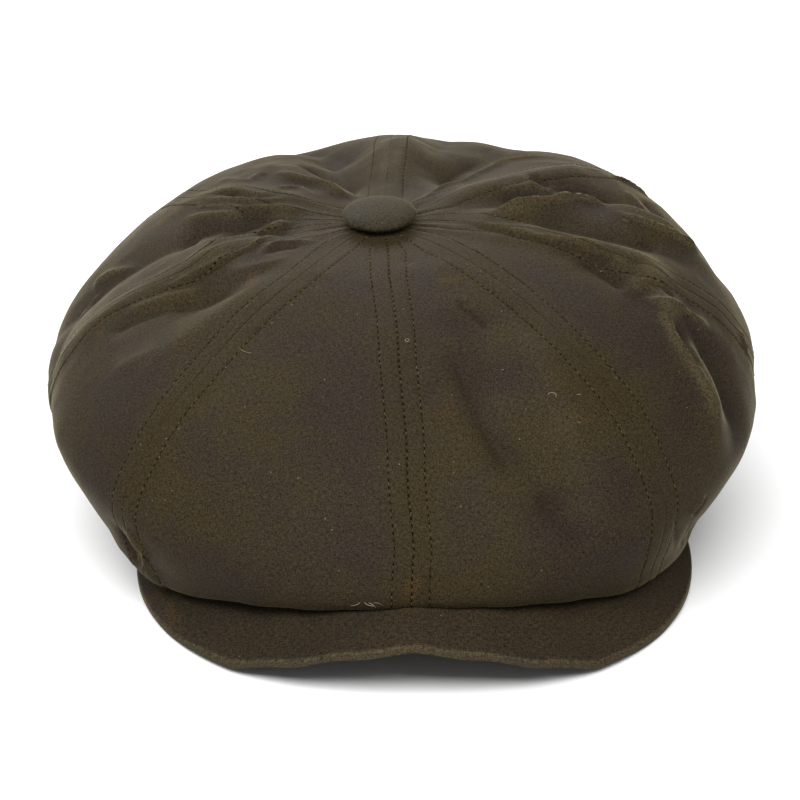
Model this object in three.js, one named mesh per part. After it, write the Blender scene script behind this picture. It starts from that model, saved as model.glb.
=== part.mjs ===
// Eight-panel newsboy cap of waxed cotton, in millimetres, +Z up.
// The cap rests on its peak and on the back of its hem. -Y is the front and +X the viewer's right.
// An azimuth starts at the front and turns towards +X. A row counts from the button, 0, to the hem, 8.
import * as THREE from "three";

// Head opening and the plain band sewn inside it
const HEAD_ROUND = 582; // length round the inside of the band, a size 58
const HEAD_SHAPE = 1.067; // front-to-back length of the opening over its width
const BAND_HEIGHT = 28;
const BAND_WALL = 1.8;

// Crown: eight cut panels of waxed cotton
const CROWN_OVERHANG = 42.6; // how far the crown stands out past its stand at the sides
const CROWN_HEIGHT = 118;
const CROWN_WALL = 1.3;
const STAND_HEIGHT = 18; // the upright strip of panel that is sewn to the band
const STAND_AT_FRONT = 0.28; // share of the stand's height that is left over the peak
const STAND_GROWS = { from: 25, to: 80 }; // degrees from the front between which it reaches that height
const SEAM_MARGIN = 7; // width of the pressed and stitched strip on each side of a seam
const SEAM_RISE = 0.9; // how much thicker the cloth is along a seam
const STRIP_SLOPE = { inside: 2, outside: 1 }; // where that rise dies away, from the stitching
const STRIP_MOST = 0.2; // the most of a panel's width that a strip takes, near the button
const TIP_RADIUS = 4.4; // where the panels' tips end, round the button's stem
const GAP = 0.3; // left between neighbouring pieces
const PEAK_CLEARANCE = 0.8; // left between the crown's cloth and the peak under it
const HEM_DROP = { from: 3, to: 14 }; // degrees past the peak's end where the hem comes down to the band
const FLATTENS = { from: 0.8, to: 0.2 }; // rows above the stand between which folds and strips die away

// Folds and dents share these two sizes
const FOLD_WIDTH = 10;
const FOLD_RISE = 6;

// Peak: a covered board
const PEAK_LENGTH = 56; // from the band to the front edge
const PEAK_SIDE = 10.5; // how far the peak stands out past the band at the sides
const PEAK_WALL = 3.5;
const PEAK_ARCH = 21; // height of the middle of the front edge over the lobes
const PEAK_RISE = 31; // height of the middle of the seam with the crown over the lobes
const PEAK_ASIDE = 2; // how far its outline sits to the right of the opening's middle
const PEAK_CAMBER = 3;
const PEAK_SPAN = 88; // degrees of azimuth from the middle to each end
const PEAK_ROUND_FROM = 68; // degrees where the ends start to taper
const PEAK_TIP = 3; // width of the peak at its ends
const PEAK_CENTRE = 0.47; // how far forward its outline is centred, as a share of the opening
const PEAK_SQUARE = 0.035; // how much fuller than an ellipse its corners are
const PEAK_CHAMFER = 0.3; // share of its wall that its rounded edge takes, above and below
const PEAK_REACH = 1.05; // the cloth above keeps clear of it out to this share of its width

// Covered button
const BUTTON_RADIUS = 14;
const BUTTON_DOME = 6.5;
const BUTTON_EDGE = 1.6;
const BUTTON_LIFT = 0.6; // how far its underside stands clear of the seams
const STEM_RADIUS = 2.8;
const FOOT_RADIUS = 6;
const FOOT_WALL = 1.2;

// Colours of the waxed cloth, darker where it is in the crown's shade
const CROWN_COLOUR = 0x423a2d;
const PEAK_COLOUR = 0x383125;
const BAND_COLOUR = 0x3a3327;
const BUTTON_COLOUR = 0x4a4130;
const CLOTH_ROUGHNESS = 0.72;

// Heights along the opening and along the peak's edge, by azimuth from the front in degrees.
// rim is a share of PEAK_RISE and edge is a share of PEAK_ARCH.
const RISE_TABLE = [
  { azimuth: 0, rim: 1.0, edge: 1.0 },
  { azimuth: 9, rim: 0.97, edge: 0.78 },
  { azimuth: 18, rim: 0.89, edge: 0.42 },
  { azimuth: 27, rim: 0.77, edge: 0.08 },
  { azimuth: 40, rim: 0.54, edge: 0.0 },
  { azimuth: 60, rim: 0.27, edge: 0.02 },
  { azimuth: 80, rim: 0.15, edge: 0.16 },
  { azimuth: 95, rim: 0.08, edge: 0.2 },
  { azimuth: 110, rim: 0.0, edge: 0.2 },
  { azimuth: 180, rim: 0.0, edge: 0.2 },
];

// The crown's rings, a row for each, from the button out to the lower fold.
// reach is a share of the crown's half width, at the front, right, back and left; height is a share
// of its height. square fills the four corners, droop lowers the two front ones, seat is how much of
// the hem's own height is added, and x and y move a ring's centre, as shares of the half width.
const RING_TABLE = [
  {
    reach: [0, 0, 0, 0],
    height: [0.965, 0.965, 0.965, 0.965],
    square: 0, droop: 0, seat: 0, x: -0.074, y: 0.044,
  },
  {
    reach: [0.33, 0.33, 0.31, 0.33],
    height: [0.945, 0.975, 0.967, 0.955],
    square: 0, droop: 0, seat: 0, x: -0.03, y: 0.059,
  },
  {
    reach: [0.63, 0.62, 0.6, 0.62],
    height: [0.83, 0.905, 0.96, 0.89],
    square: 0.02, droop: 0, seat: 0, x: 0.022, y: 0.052,
  },
  {
    reach: [0.87, 0.845, 0.83, 0.87],
    height: [0.64, 0.73, 0.855, 0.72],
    square: 0.03, droop: 0, seat: 0, x: 0.03, y: 0.03,
  },
  {
    reach: [0.99, 0.99, 0.97, 1.02],
    height: [0.28, 0.455, 0.61, 0.445],
    square: 0.015, droop: 0, seat: 0.5, x: 0, y: 0.015,
  },
  {
    reach: [1.01, 0.9, 0.96, 0.91],
    height: [-0.03, 0.22, 0.36, 0.21],
    square: -0.005, droop: 0.025, seat: 1, x: -0.007, y: 0,
  },
  {
    reach: [0.93, 0.8, 0.86, 0.81],
    height: [-0.05, 0.06, 0.16, 0.05],
    square: 0.02, droop: 0.045, seat: 1, x: 0, y: 0,
  },
];

// The seams between the panels: the azimuth in degrees at each of the rows named in SEAM_ROWS
const SEAM_ROWS = [0, 1, 2, 3, 4, 8];
const SEAM_TABLE = [
  { name: "front", azimuth: [2, -4, -5, -3, 0, 0] },
  { name: "front_right", azimuth: [42, 37, 36, 39, 42, 45] },
  { name: "right", azimuth: [92, 76, 73, 81, 86, 90] },
  { name: "back_right", azimuth: [124, 129, 129, 131, 134, 135] },
  { name: "back", azimuth: [180, 180, 180, 180, 180, 180] },
  { name: "back_left", azimuth: [258, 252, 246, 235, 229, 225] },
  { name: "left", azimuth: [284, 275, 283, 276, 275, 270] },
  { name: "front_left", azimuth: [314, 318, 313, 312, 312, 315] },
];

// Folds, ridges and dents: where each starts and ends, as azimuth in degrees and row.
// wide is a share of FOLD_WIDTH and rise a share of FOLD_RISE, below nothing for a valley.
const FOLD_TABLE = [
  { name: "ridge on the back right seam", from: [126, 0.4], to: [129, 2.2], wide: 1.0, rise: 0.5 },
  { name: "valley behind the right ridge", from: [106, 0.7], to: [112, 2.3], wide: 0.9, rise: -0.85 },
  { name: "right ridge", from: [92, 0.8], to: [107, 1.6], wide: 0.8, rise: 0.8 },
  { name: "right ridge, lower part", from: [107, 1.6], to: [97, 2.8], wide: 0.9, rise: 0.7 },
  { name: "valley over the right seam", from: [84, 0.9], to: [88, 2.4], wide: 0.8, rise: -0.6 },
  { name: "ridge on the right seam", from: [78, 0.8], to: [75, 2.5], wide: 0.9, rise: 0.5 },
  { name: "valley under the right seam", from: [68, 1.5], to: [64, 2.1], wide: 0.8, rise: -0.45 },
  { name: "forked ridge", from: [75, 2.0], to: [60, 2.6], wide: 0.8, rise: 0.7 },
  { name: "forked ridge, long arm", from: [61, 2.5], to: [57, 3.6], wide: 0.9, rise: 0.7 },
  { name: "forked ridge, short arm", from: [66, 2.3], to: [72, 2.9], wide: 0.7, rise: 0.45 },
  { name: "valley beside the forked ridge", from: [67, 2.6], to: [63, 3.8], wide: 0.9, rise: -0.7 },
  { name: "soft valley, front right", from: [19, 1.3], to: [12, 2.5], wide: 1.4, rise: -0.4 },
  { name: "soft valley, front right, lower part", from: [13, 2.4], to: [24, 4.0], wide: 1.4, rise: -0.5 },
  { name: "soft ridge, front right", from: [28, 1.6], to: [26, 3.2], wide: 1.6, rise: 0.4 },
  { name: "left valley", from: [278, 0.6], to: [264, 1.8], wide: 1.1, rise: -0.9 },
  { name: "left valley, lower part", from: [264, 1.8], to: [262, 3.9], wide: 1.2, rise: -0.65 },
  { name: "ridge on the back left seam", from: [240, 0.5], to: [246, 2.3], wide: 0.9, rise: 0.5 },
  { name: "back left ridge", from: [214, 0.5], to: [224, 1.8], wide: 0.8, rise: 0.8 },
  { name: "back left valley", from: [202, 0.6], to: [203, 2.4], wide: 1.3, rise: -1.25 },
  { name: "ridge on the back seam", from: [180, 0.8], to: [180, 2.2], wide: 1.1, rise: 0.65 },
  { name: "back right dent", from: [158, 0.8], to: [156, 2.4], wide: 1.8, rise: -1.0 },
  { name: "right shoulder dent", from: [112, 2.5], to: [103, 3.6], wide: 1.8, rise: -0.55 },
  { name: "ridge on the left seam", from: [277, 0.8], to: [282, 2.2], wide: 0.9, rise: 0.5 },
  { name: "ridge on the left seam, lower part", from: [282, 2.2], to: [275, 3.5], wide: 1.0, rise: 0.45 },
  { name: "valley under the left seam", from: [303, 0.9], to: [294, 2.4], wide: 1.2, rise: -0.5 },
  { name: "left panel ridge", from: [306, 1.3], to: [301, 2.8], wide: 1.0, rise: 0.35 },
  { name: "lower left fold", from: [303, 4.7], to: [317, 5.5], wide: 0.8, rise: 0.5 },
  { name: "lower left crease", from: [297, 4.8], to: [308, 5.6], wide: 0.7, rise: -0.55 },
  { name: "lower right crease", from: [55, 4.9], to: [67, 5.2], wide: 0.8, rise: -0.7 },
  { name: "left side dent", from: [262, 3.4], to: [288, 4.4], wide: 1.5, rise: -0.5 },
  { name: "right side dent", from: [78, 3.9], to: [98, 4.5], wide: 1.4, rise: -0.5 },
  { name: "back dent", from: [150, 3.2], to: [170, 4.6], wide: 1.7, rise: -0.5 },
  { name: "back left dent", from: [206, 3.0], to: [196, 4.4], wide: 1.7, rise: -0.45 },
];
const BUTTON_FLAT = 7; // the folds start this many tip radii out, where the button no longer holds the cloth
const FOLD_STEPS = 6; // straight stretches that a fold's line is made of
const FOLD_FADE = 0.3; // share of its length over which a fold dies away at each end
const FOLD_END = 0.35; // share of its rise that a fold keeps at its very ends

// How finely each piece is faceted
const PANEL_COLUMNS = 7; // between the two stitched strips
const PANEL_STRETCHES = [
  { from: 0, to: 5, steps: 16 },
  { from: 5, to: 7, steps: 7 },
  { from: 7, to: 8, steps: 2 },
];
const BAND_STEPS = 72;
const PEAK_STEPS = 36;
const PEAK_ROWS = 5;
const BUTTON_SEGMENTS = 24;
const BUTTON_STEPS = 6;

const LAST_RING = RING_TABLE.length - 1;
const STAND_ROW = LAST_RING + 1;
const HEM_ROW = LAST_RING + 2;
const LOWER_ROW = LAST_RING - 2; // from here down the cloth comes near the band and the peak
const HEAD_HALF_WIDTH = HEAD_ROUND / (2 * Math.PI) / Math.sqrt((1 + HEAD_SHAPE ** 2) / 2);
const HEAD_HALF_LENGTH = HEAD_HALF_WIDTH * HEAD_SHAPE;
const CROWN_HALF = HEAD_HALF_WIDTH + BAND_WALL + GAP + CROWN_WALL + CROWN_OVERHANG;

const EASE = 0.5; // how much of a table's interpolation is smooth, where the rest is straight
const TURN_STEP = 0.01; // radians and rows over which the crown's slope is measured
const ROW_STEP = 0.03;
const FACES_APART = 0.01; // keeps the inner face's lowest edge off the outer one's

const radians = THREE.MathUtils.degToRad;
const clamp = THREE.MathUtils.clamp;
const lerp = THREE.MathUtils.lerp;
const smooth = (value, low, high) => THREE.MathUtils.smoothstep(value, low, high);

// The azimuth in degrees from the front, the same on both sides, 0 to 180
function fromFront(angle) {
  const turn = Math.abs(THREE.MathUtils.euclideanModulo(angle + Math.PI, 2 * Math.PI) - Math.PI);
  return THREE.MathUtils.radToDeg(turn);
}

// Uniform Catmull-Rom spline through four values, at share f from the second to the third
function spline(a, b, c, d, f) {
  const slope = (c - a) * f;
  const bend = (2 * a - 5 * b + 4 * c - d) * f * f;
  const twist = (3 * b - a - 3 * c + d) * f * f * f;
  return b + (slope + bend + twist) / 2;
}

// Interpolation of a column of a table by another one
function lookUp(xs, ys, x) {
  const last = xs.length - 1;
  let i = 0;
  while (i < last - 1 && x > xs[i + 1]) i += 1;
  const f = clamp((x - xs[i]) / (xs[i + 1] - xs[i]), 0, 1);
  return lerp(ys[i], ys[i + 1], lerp(f, smooth(f, 0, 1), EASE));
}

// Four values, at the front, right, back and left, blended round the ring
function blendRound([front, right, back, left], angle) {
  const mean = (front + right + back + left) / 4;
  const oval = (front - right + back - left) / 4;
  const lengthwise = ((front - back) / 2) * Math.cos(angle);
  const sideways = ((right - left) / 2) * Math.sin(angle);
  return mean + lengthwise + sideways + oval * Math.cos(2 * angle);
}

// Inside of the band, from the middle of the opening
function headReach(angle) {
  const across = HEAD_HALF_LENGTH * Math.sin(angle);
  const along = HEAD_HALF_WIDTH * Math.cos(angle);
  return (HEAD_HALF_WIDTH * HEAD_HALF_LENGTH) / Math.hypot(across, along);
}

const bandReach = (angle) => headReach(angle) + BAND_WALL;
const standReach = (angle) => bandReach(angle) + GAP + CROWN_WALL;

const RISE_AZIMUTHS = RISE_TABLE.map((row) => row.azimuth);
const RIM_SHARES = RISE_TABLE.map((row) => row.rim);
const EDGE_SHARES = RISE_TABLE.map((row) => row.edge);
const rimHeight = (angle) => PEAK_RISE * lookUp(RISE_AZIMUTHS, RIM_SHARES, fromFront(angle));
const edgeHeight = (angle) => PEAK_ARCH * lookUp(RISE_AZIMUTHS, EDGE_SHARES, fromFront(angle));

// The peak's inner edge lies against the band
const peakInner = (angle) => bandReach(angle) + GAP;

// The peak's outer edge: where a ray from the middle of the opening meets an oval centred
// further forward, tapered in towards the band at the two ends
function peakOuter(angle) {
  const halfWidth = HEAD_HALF_WIDTH + BAND_WALL + PEAK_SIDE;
  const forward = PEAK_CENTRE * HEAD_HALF_LENGTH;
  const halfLength = HEAD_HALF_LENGTH + BAND_WALL + PEAK_LENGTH - forward;
  const ray = new THREE.Vector2(Math.sin(angle) / halfWidth, Math.cos(angle) / halfLength);
  const centre = new THREE.Vector2(PEAK_ASIDE / halfWidth, forward / halfLength);
  const a = ray.lengthSq();
  const b = ray.dot(centre);
  const c = centre.lengthSq() - 1;
  const oval = (b + Math.sqrt(b * b - a * c)) / a;
  const full = oval * (1 + PEAK_SQUARE * Math.sin(2 * angle) ** 2);
  const over = clamp((fromFront(angle) - PEAK_ROUND_FROM) / (PEAK_SPAN - PEAK_ROUND_FROM), 0, 1);
  const taper = Math.sqrt(1 - over * over);
  return peakInner(angle) + Math.max(PEAK_TIP, (full - peakInner(angle)) * taper);
}

// Height of the peak's underside, at share w of the way from its inner to its outer edge
function peakUnder(angle, w) {
  const ruled = lerp(rimHeight(angle), edgeHeight(angle), w);
  return ruled + PEAK_CAMBER * Math.sin(Math.PI * w) * Math.cos(angle) ** 2;
}

// Height that cloth above the peak has to keep, and nothing beyond the peak's outline
function restHeight(x, y) {
  const angle = Math.atan2(x, -y);
  if (fromFront(angle) > PEAK_SPAN + HEM_DROP.from) return -Infinity;
  const inner = peakInner(angle);
  const w = (Math.hypot(x, y) - inner) / (peakOuter(angle) - inner);
  if (w > PEAK_REACH) return -Infinity;
  return peakUnder(angle, clamp(w, 0, 1)) + PEAK_WALL + PEAK_CLEARANCE;
}

// Height of the panels' hem: on top of the peak at the front, level with the band elsewhere
function hemHeight(angle) {
  const beyondPeak = smooth(fromFront(angle), PEAK_SPAN + HEM_DROP.from, PEAK_SPAN + HEM_DROP.to);
  return rimHeight(angle) + (PEAK_WALL + PEAK_CLEARANCE) * (1 - beyondPeak);
}

// A point of one of the crown's rings
function ringPoint(row, angle) {
  const place = (x, y, reach, z) =>
    new THREE.Vector3(x + reach * Math.sin(angle), y - reach * Math.cos(angle), z);
  if (row >= HEM_ROW) {
    return place(0, 0, standReach(angle), hemHeight(angle));
  }
  if (row === STAND_ROW) {
    const grown = smooth(fromFront(angle), STAND_GROWS.from, STAND_GROWS.to);
    const stand = STAND_HEIGHT * lerp(STAND_AT_FRONT, 1, grown);
    return place(0, 0, standReach(angle) + GAP, hemHeight(angle) + stand);
  }
  const ring = RING_TABLE[row];
  const fill = 1 + ring.square * Math.sin(2 * angle) ** 2;
  const reach = blendRound(ring.reach, angle) * fill * CROWN_HALF;
  const corner = (Math.sin(2 * angle) ** 2 * (1 + Math.cos(angle))) / 2;
  const share = blendRound(ring.height, angle) - ring.droop * corner;
  const height = share * CROWN_HEIGHT + ring.seat * hemHeight(angle);
  return place(ring.x * CROWN_HALF, ring.y * CROWN_HALF, reach, height);
}

// The crown's plain form, without folds: the rings joined by splines
function plainPoint(angle, row) {
  const i = clamp(Math.floor(row), 0, HEM_ROW - 1);
  const b = ringPoint(i, angle);
  const c = ringPoint(i + 1, angle);
  const a = i > 0 ? ringPoint(i - 1, angle) : b.clone().multiplyScalar(2).sub(c);
  const d = i + 2 <= HEM_ROW ? ringPoint(i + 2, angle) : c.clone().multiplyScalar(2).sub(b);
  const f = row - i;
  const along = (axis) => spline(a[axis], b[axis], c[axis], d[axis], f);
  return new THREE.Vector3(along("x"), along("y"), along("z"));
}

// Direction away from the plain form
function plainNormal(angle, row) {
  const round = plainPoint(angle + TURN_STEP, row).sub(plainPoint(angle - TURN_STEP, row));
  const down = plainPoint(angle, row + ROW_STEP).sub(plainPoint(angle, row - ROW_STEP));
  return down.cross(round).normalize();
}

const seamAzimuth = (seam, row) => {
  const whole = seam >= SEAM_TABLE.length ? 360 : 0;
  const line = SEAM_TABLE[seam % SEAM_TABLE.length];
  return radians(lookUp(SEAM_ROWS, line.azimuth, row) + whole);
};

// Each fold's line as points on the plain form
const FOLD_LINES = FOLD_TABLE.map(({ from, to, wide, rise }) => {
  const points = [];
  for (let i = 0; i <= FOLD_STEPS; i += 1) {
    const f = i / FOLD_STEPS;
    const azimuth = lerp(from[0], to[0], f);
    points.push(plainPoint(radians(azimuth), lerp(from[1], to[1], f)));
  }
  return { points, width: wide * FOLD_WIDTH, rise: rise * FOLD_RISE };
});

// How far one fold lifts the cloth at a point of the plain form
function foldLift(point, { points, width, rise }) {
  let nearest = Infinity;
  let along = 0;
  const foot = new THREE.Vector3();
  for (let i = 0; i < FOLD_STEPS; i += 1) {
    const stretch = new THREE.Line3(points[i], points[i + 1]);
    const f = stretch.closestPointToPointParameter(point, true);
    const distance = stretch.at(f, foot).distanceTo(point);
    if (distance < nearest) {
      nearest = distance;
      along = (i + f) / FOLD_STEPS;
    }
  }
  const grown = smooth(Math.min(along, 1 - along), 0, FOLD_FADE);
  return rise * Math.exp(-((nearest / width) ** 2)) * lerp(FOLD_END, 1, grown);
}

const allFolds = (point) => FOLD_LINES.reduce((sum, fold) => sum + foldLift(point, fold), 0);

// A point of a panel's outer face (layer 0) or inner face (layer CROWN_WALL).
// u runs from the panel's left seam, 0, to its right one, 1.
function panelPoint(seam, u, row, layer) {
  const left = seamAzimuth(seam, row);
  const right = seamAzimuth(seam + 1, row);
  const angle = lerp(left, right, u);
  const point = plainPoint(angle, row);
  const width = plainPoint(left, row).distanceTo(plainPoint(right, row));
  const toSeam = Math.min(u, 1 - u) * width;
  const beside = smooth(toSeam, SEAM_MARGIN - STRIP_SLOPE.inside, SEAM_MARGIN + STRIP_SLOPE.outside);
  const pressed = layer > 0 ? 0 : SEAM_RISE * (1 - beside);
  const standing = smooth(row, STAND_ROW - FLATTENS.from, STAND_ROW - FLATTENS.to);
  const pastButton = smooth(row, 2 * TIP_ROW, BUTTON_FLAT * TIP_ROW);
  const lift = (allFolds(point) * pastButton + pressed) * (1 - standing) - layer;
  point.addScaledVector(plainNormal(angle, row), lift);
  return keepClear(point, row, layer);
}

// Cloth stays outside the band and lies on the peak where it would dip below it
function keepClear(point, row, layer) {
  if (row < LOWER_ROW) return point;
  const angle = Math.atan2(point.x, -point.y);
  const reach = Math.hypot(point.x, point.y);
  const least = standReach(angle) - layer;
  if (reach < least) {
    point.x *= least / reach;
    point.y *= least / reach;
  }
  const lowest = layer > 0 ? FACES_APART : 0;
  point.z = Math.max(point.z, restHeight(point.x, point.y) + layer, lowest);
  return point;
}

// A closed solid between two grids of points, outside[i][j] over inside[i][j].
// Seen from outside, j runs down and i to the right.
function shell(outside, inside) {
  const columns = outside.length;
  const rows = outside[0].length;
  const faces = [];
  const outer = (i, j) => i * rows + j;
  const inner = (i, j) => columns * rows + i * rows + j;
  const quad = (a, b, c, d) => faces.push(a, b, c, a, c, d);
  for (let i = 0; i < columns - 1; i += 1) {
    for (let j = 0; j < rows - 1; j += 1) {
      quad(outer(i, j), outer(i, j + 1), outer(i + 1, j + 1), outer(i + 1, j));
      quad(inner(i, j), inner(i + 1, j), inner(i + 1, j + 1), inner(i, j + 1));
    }
    const last = rows - 1;
    quad(outer(i, 0), outer(i + 1, 0), inner(i + 1, 0), inner(i, 0));
    quad(outer(i + 1, last), outer(i, last), inner(i, last), inner(i + 1, last));
  }
  for (let j = 0; j < rows - 1; j += 1) {
    const last = columns - 1;
    quad(outer(0, j + 1), outer(0, j), inner(0, j), inner(0, j + 1));
    quad(inner(last, j), outer(last, j), outer(last, j + 1), inner(last, j + 1));
  }
  return geometryOf([...outside.flat(), ...inside.flat()], faces);
}

function geometryOf(points, faces) {
  const geometry = new THREE.BufferGeometry();
  geometry.setFromPoints(points);
  geometry.setIndex(faces);
  geometry.computeVertexNormals();
  return geometry;
}

// The row where the panels' tips end, so that they leave room for the button's stem
const TIP_ROW = TIP_RADIUS / (RING_TABLE[1].reach[0] * CROWN_HALF);

function panelRows() {
  const rows = [];
  for (const { from, to, steps } of PANEL_STRETCHES) {
    const start = Math.max(from, TIP_ROW);
    for (let i = rows.length ? 1 : 0; i <= steps; i += 1) {
      rows.push(lerp(start, to, i / steps));
    }
  }
  return rows;
}

// Shares across a panel at one row: both edges, both stitched strips and even steps between
function panelColumns(seam, row) {
  const left = plainPoint(seamAzimuth(seam, row), row);
  const width = left.distanceTo(plainPoint(seamAzimuth(seam + 1, row), row));
  const edge = GAP / 2 / width;
  const strip = edge + Math.min(SEAM_MARGIN / width, STRIP_MOST);
  const columns = [edge];
  for (let i = 0; i <= PANEL_COLUMNS; i += 1) {
    columns.push(lerp(strip, 1 - strip, i / PANEL_COLUMNS));
  }
  columns.push(1 - edge);
  return columns;
}

function panelGeometry(seam) {
  const rows = panelRows();
  const across = rows.map((row) => panelColumns(seam, row));
  const face = (layer) =>
    across[0].map((_, i) => rows.map((row, j) => panelPoint(seam, across[j][i], row, layer)));
  return shell(face(0), face(CROWN_WALL));
}

// Covered board, with chamfered edges where the cloth wraps round it
function peakGeometry() {
  const chamfer = PEAK_WALL * PEAK_CHAMFER;
  const top = [];
  const bottom = [];
  for (let i = 0; i <= PEAK_STEPS; i += 1) {
    const angle = radians(lerp(-PEAK_SPAN, PEAK_SPAN, i / PEAK_STEPS));
    const inner = peakInner(angle);
    const outer = peakOuter(angle);
    const place = (reach, z) =>
      new THREE.Vector3(reach * Math.sin(angle), -reach * Math.cos(angle), z);
    const upper = [];
    const lower = [];
    for (let j = 0; j <= PEAK_ROWS; j += 1) {
      const reach = lerp(inner, outer - chamfer, j / PEAK_ROWS);
      const under = peakUnder(angle, (reach - inner) / (outer - inner));
      upper.push(place(reach, under + PEAK_WALL));
      lower.push(place(reach, under));
    }
    const edge = peakUnder(angle, 1);
    upper.push(place(outer, edge + PEAK_WALL - chamfer));
    lower.push(place(outer, edge + chamfer));
    top.push(upper);
    bottom.push(lower);
  }
  return shell(top, bottom);
}

// Plain strip inside the opening, that the panels and the peak are sewn to
function bandGeometry() {
  const points = [];
  const faces = [];
  const corners = 4;
  for (let i = 0; i < BAND_STEPS; i += 1) {
    const angle = (2 * Math.PI * i) / BAND_STEPS;
    const low = rimHeight(angle);
    const place = (reach, z) =>
      new THREE.Vector3(reach * Math.sin(angle), -reach * Math.cos(angle), z);
    points.push(place(bandReach(angle), low));
    points.push(place(bandReach(angle), low + BAND_HEIGHT));
    points.push(place(headReach(angle), low + BAND_HEIGHT));
    points.push(place(headReach(angle), low));
    const next = (i + 1) % BAND_STEPS;
    for (let k = 0; k < corners; k += 1) {
      const after = (k + 1) % corners;
      const a = i * corners + k;
      const b = next * corners + k;
      const c = next * corners + after;
      const d = i * corners + after;
      faces.push(a, b, c, a, c, d);
    }
  }
  return geometryOf(points, faces);
}

// Domed button with a stem down between the panels' tips and a foot under them
function buttonGeometry() {
  const stemFoot = -(SEAM_RISE + BUTTON_LIFT) - (CROWN_WALL + BUTTON_LIFT);
  const profile = [
    [0, stemFoot - FOOT_WALL],
    [FOOT_RADIUS, stemFoot - FOOT_WALL],
    [FOOT_RADIUS, stemFoot],
    [STEM_RADIUS, stemFoot],
    [STEM_RADIUS, 0],
    [BUTTON_RADIUS - BUTTON_EDGE, 0],
    [BUTTON_RADIUS, BUTTON_EDGE],
  ];
  for (let i = 1; i <= BUTTON_STEPS; i += 1) {
    const turn = (Math.PI / 2) * (i / BUTTON_STEPS);
    const rise = (BUTTON_DOME - BUTTON_EDGE) * Math.sin(turn);
    profile.push([i < BUTTON_STEPS ? BUTTON_RADIUS * Math.cos(turn) : 0, BUTTON_EDGE + rise]);
  }
  const outline = profile.map(([reach, height]) => new THREE.Vector2(reach, height));
  return new THREE.LatheGeometry(outline, BUTTON_SEGMENTS).rotateX(Math.PI / 2);
}

function clothFinish(colour) {
  return new THREE.MeshStandardMaterial({ color: colour, roughness: CLOTH_ROUGHNESS, metalness: 0 });
}

function named(name, geometry, material) {
  const mesh = new THREE.Mesh(geometry, material);
  mesh.name = name;
  return mesh;
}

const cap = new THREE.Group();

const crownFinish = clothFinish(CROWN_COLOUR);
SEAM_TABLE.forEach((line, seam) => {
  const after = SEAM_TABLE[(seam + 1) % SEAM_TABLE.length].name;
  cap.add(named(`panel_${line.name}_to_${after}`, panelGeometry(seam), crownFinish));
});

cap.add(named("peak", peakGeometry(), clothFinish(PEAK_COLOUR)));
cap.add(named("headband", bandGeometry(), clothFinish(BAND_COLOUR)));

const button = named("button", buttonGeometry(), clothFinish(BUTTON_COLOUR));
const crownTop = ringPoint(0, 0);
const upright = new THREE.Vector3(0, 0, 1);
const topNormal = plainNormal(0, TIP_ROW).add(plainNormal(Math.PI, TIP_ROW));
topNormal.add(plainNormal(Math.PI / 2, TIP_ROW)).add(plainNormal(-Math.PI / 2, TIP_ROW)).normalize();
button.quaternion.setFromUnitVectors(upright, topNormal);
button.position.copy(crownTop).addScaledVector(topNormal, SEAM_RISE + BUTTON_LIFT);
cap.add(button);

// The origin is the middle of the footprint, on the surface that the cap rests on
const box = new THREE.Box3().setFromObject(cap, true);
const middle = box.getCenter(new THREE.Vector3());
cap.position.set(-middle.x, -middle.y, -box.min.z);

export default cap;
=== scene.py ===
# %% [markdown]
# # A waxed newsboy cap
#
# The real cap is eight cut panels of waxed cotton, sewn edge to edge, topstitched beside every seam and
# gathered under a covered button. A board covered with the same cloth makes the peak, and a plain strip
# inside the opening is what the panels are sewn to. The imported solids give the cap's plan and its large
# folds. These cells work the same forms out again with numpy, finely enough for wrinkles, seams and
# stitches, and then finish them as waxed cloth.

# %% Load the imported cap
import math

import bpy
import numpy as np
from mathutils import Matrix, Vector


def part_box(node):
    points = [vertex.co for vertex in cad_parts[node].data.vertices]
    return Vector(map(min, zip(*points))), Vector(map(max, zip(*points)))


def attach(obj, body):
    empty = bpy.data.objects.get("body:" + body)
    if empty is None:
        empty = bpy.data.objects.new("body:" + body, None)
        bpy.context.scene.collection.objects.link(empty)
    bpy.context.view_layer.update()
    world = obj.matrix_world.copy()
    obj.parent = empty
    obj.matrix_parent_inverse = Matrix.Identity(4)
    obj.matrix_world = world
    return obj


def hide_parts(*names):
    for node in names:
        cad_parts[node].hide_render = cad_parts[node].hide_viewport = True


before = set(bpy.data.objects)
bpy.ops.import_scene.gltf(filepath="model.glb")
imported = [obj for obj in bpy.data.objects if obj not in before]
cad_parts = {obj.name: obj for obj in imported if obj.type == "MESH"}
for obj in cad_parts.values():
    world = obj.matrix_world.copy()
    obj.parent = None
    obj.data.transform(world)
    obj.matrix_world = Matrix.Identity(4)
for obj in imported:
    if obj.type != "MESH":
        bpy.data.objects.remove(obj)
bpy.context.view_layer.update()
MM = 0.001
print("nodes", sorted(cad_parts))

# %% [markdown]
# ## Where the cap lies
#
# The headband is an oval round the opening, so the middle of its box is the middle of the opening. All
# shapes below are worked out in millimetres from there, and one function moves them to the frame. The
# front is -Y. An azimuth starts at the front and turns to the viewer's right.

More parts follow.
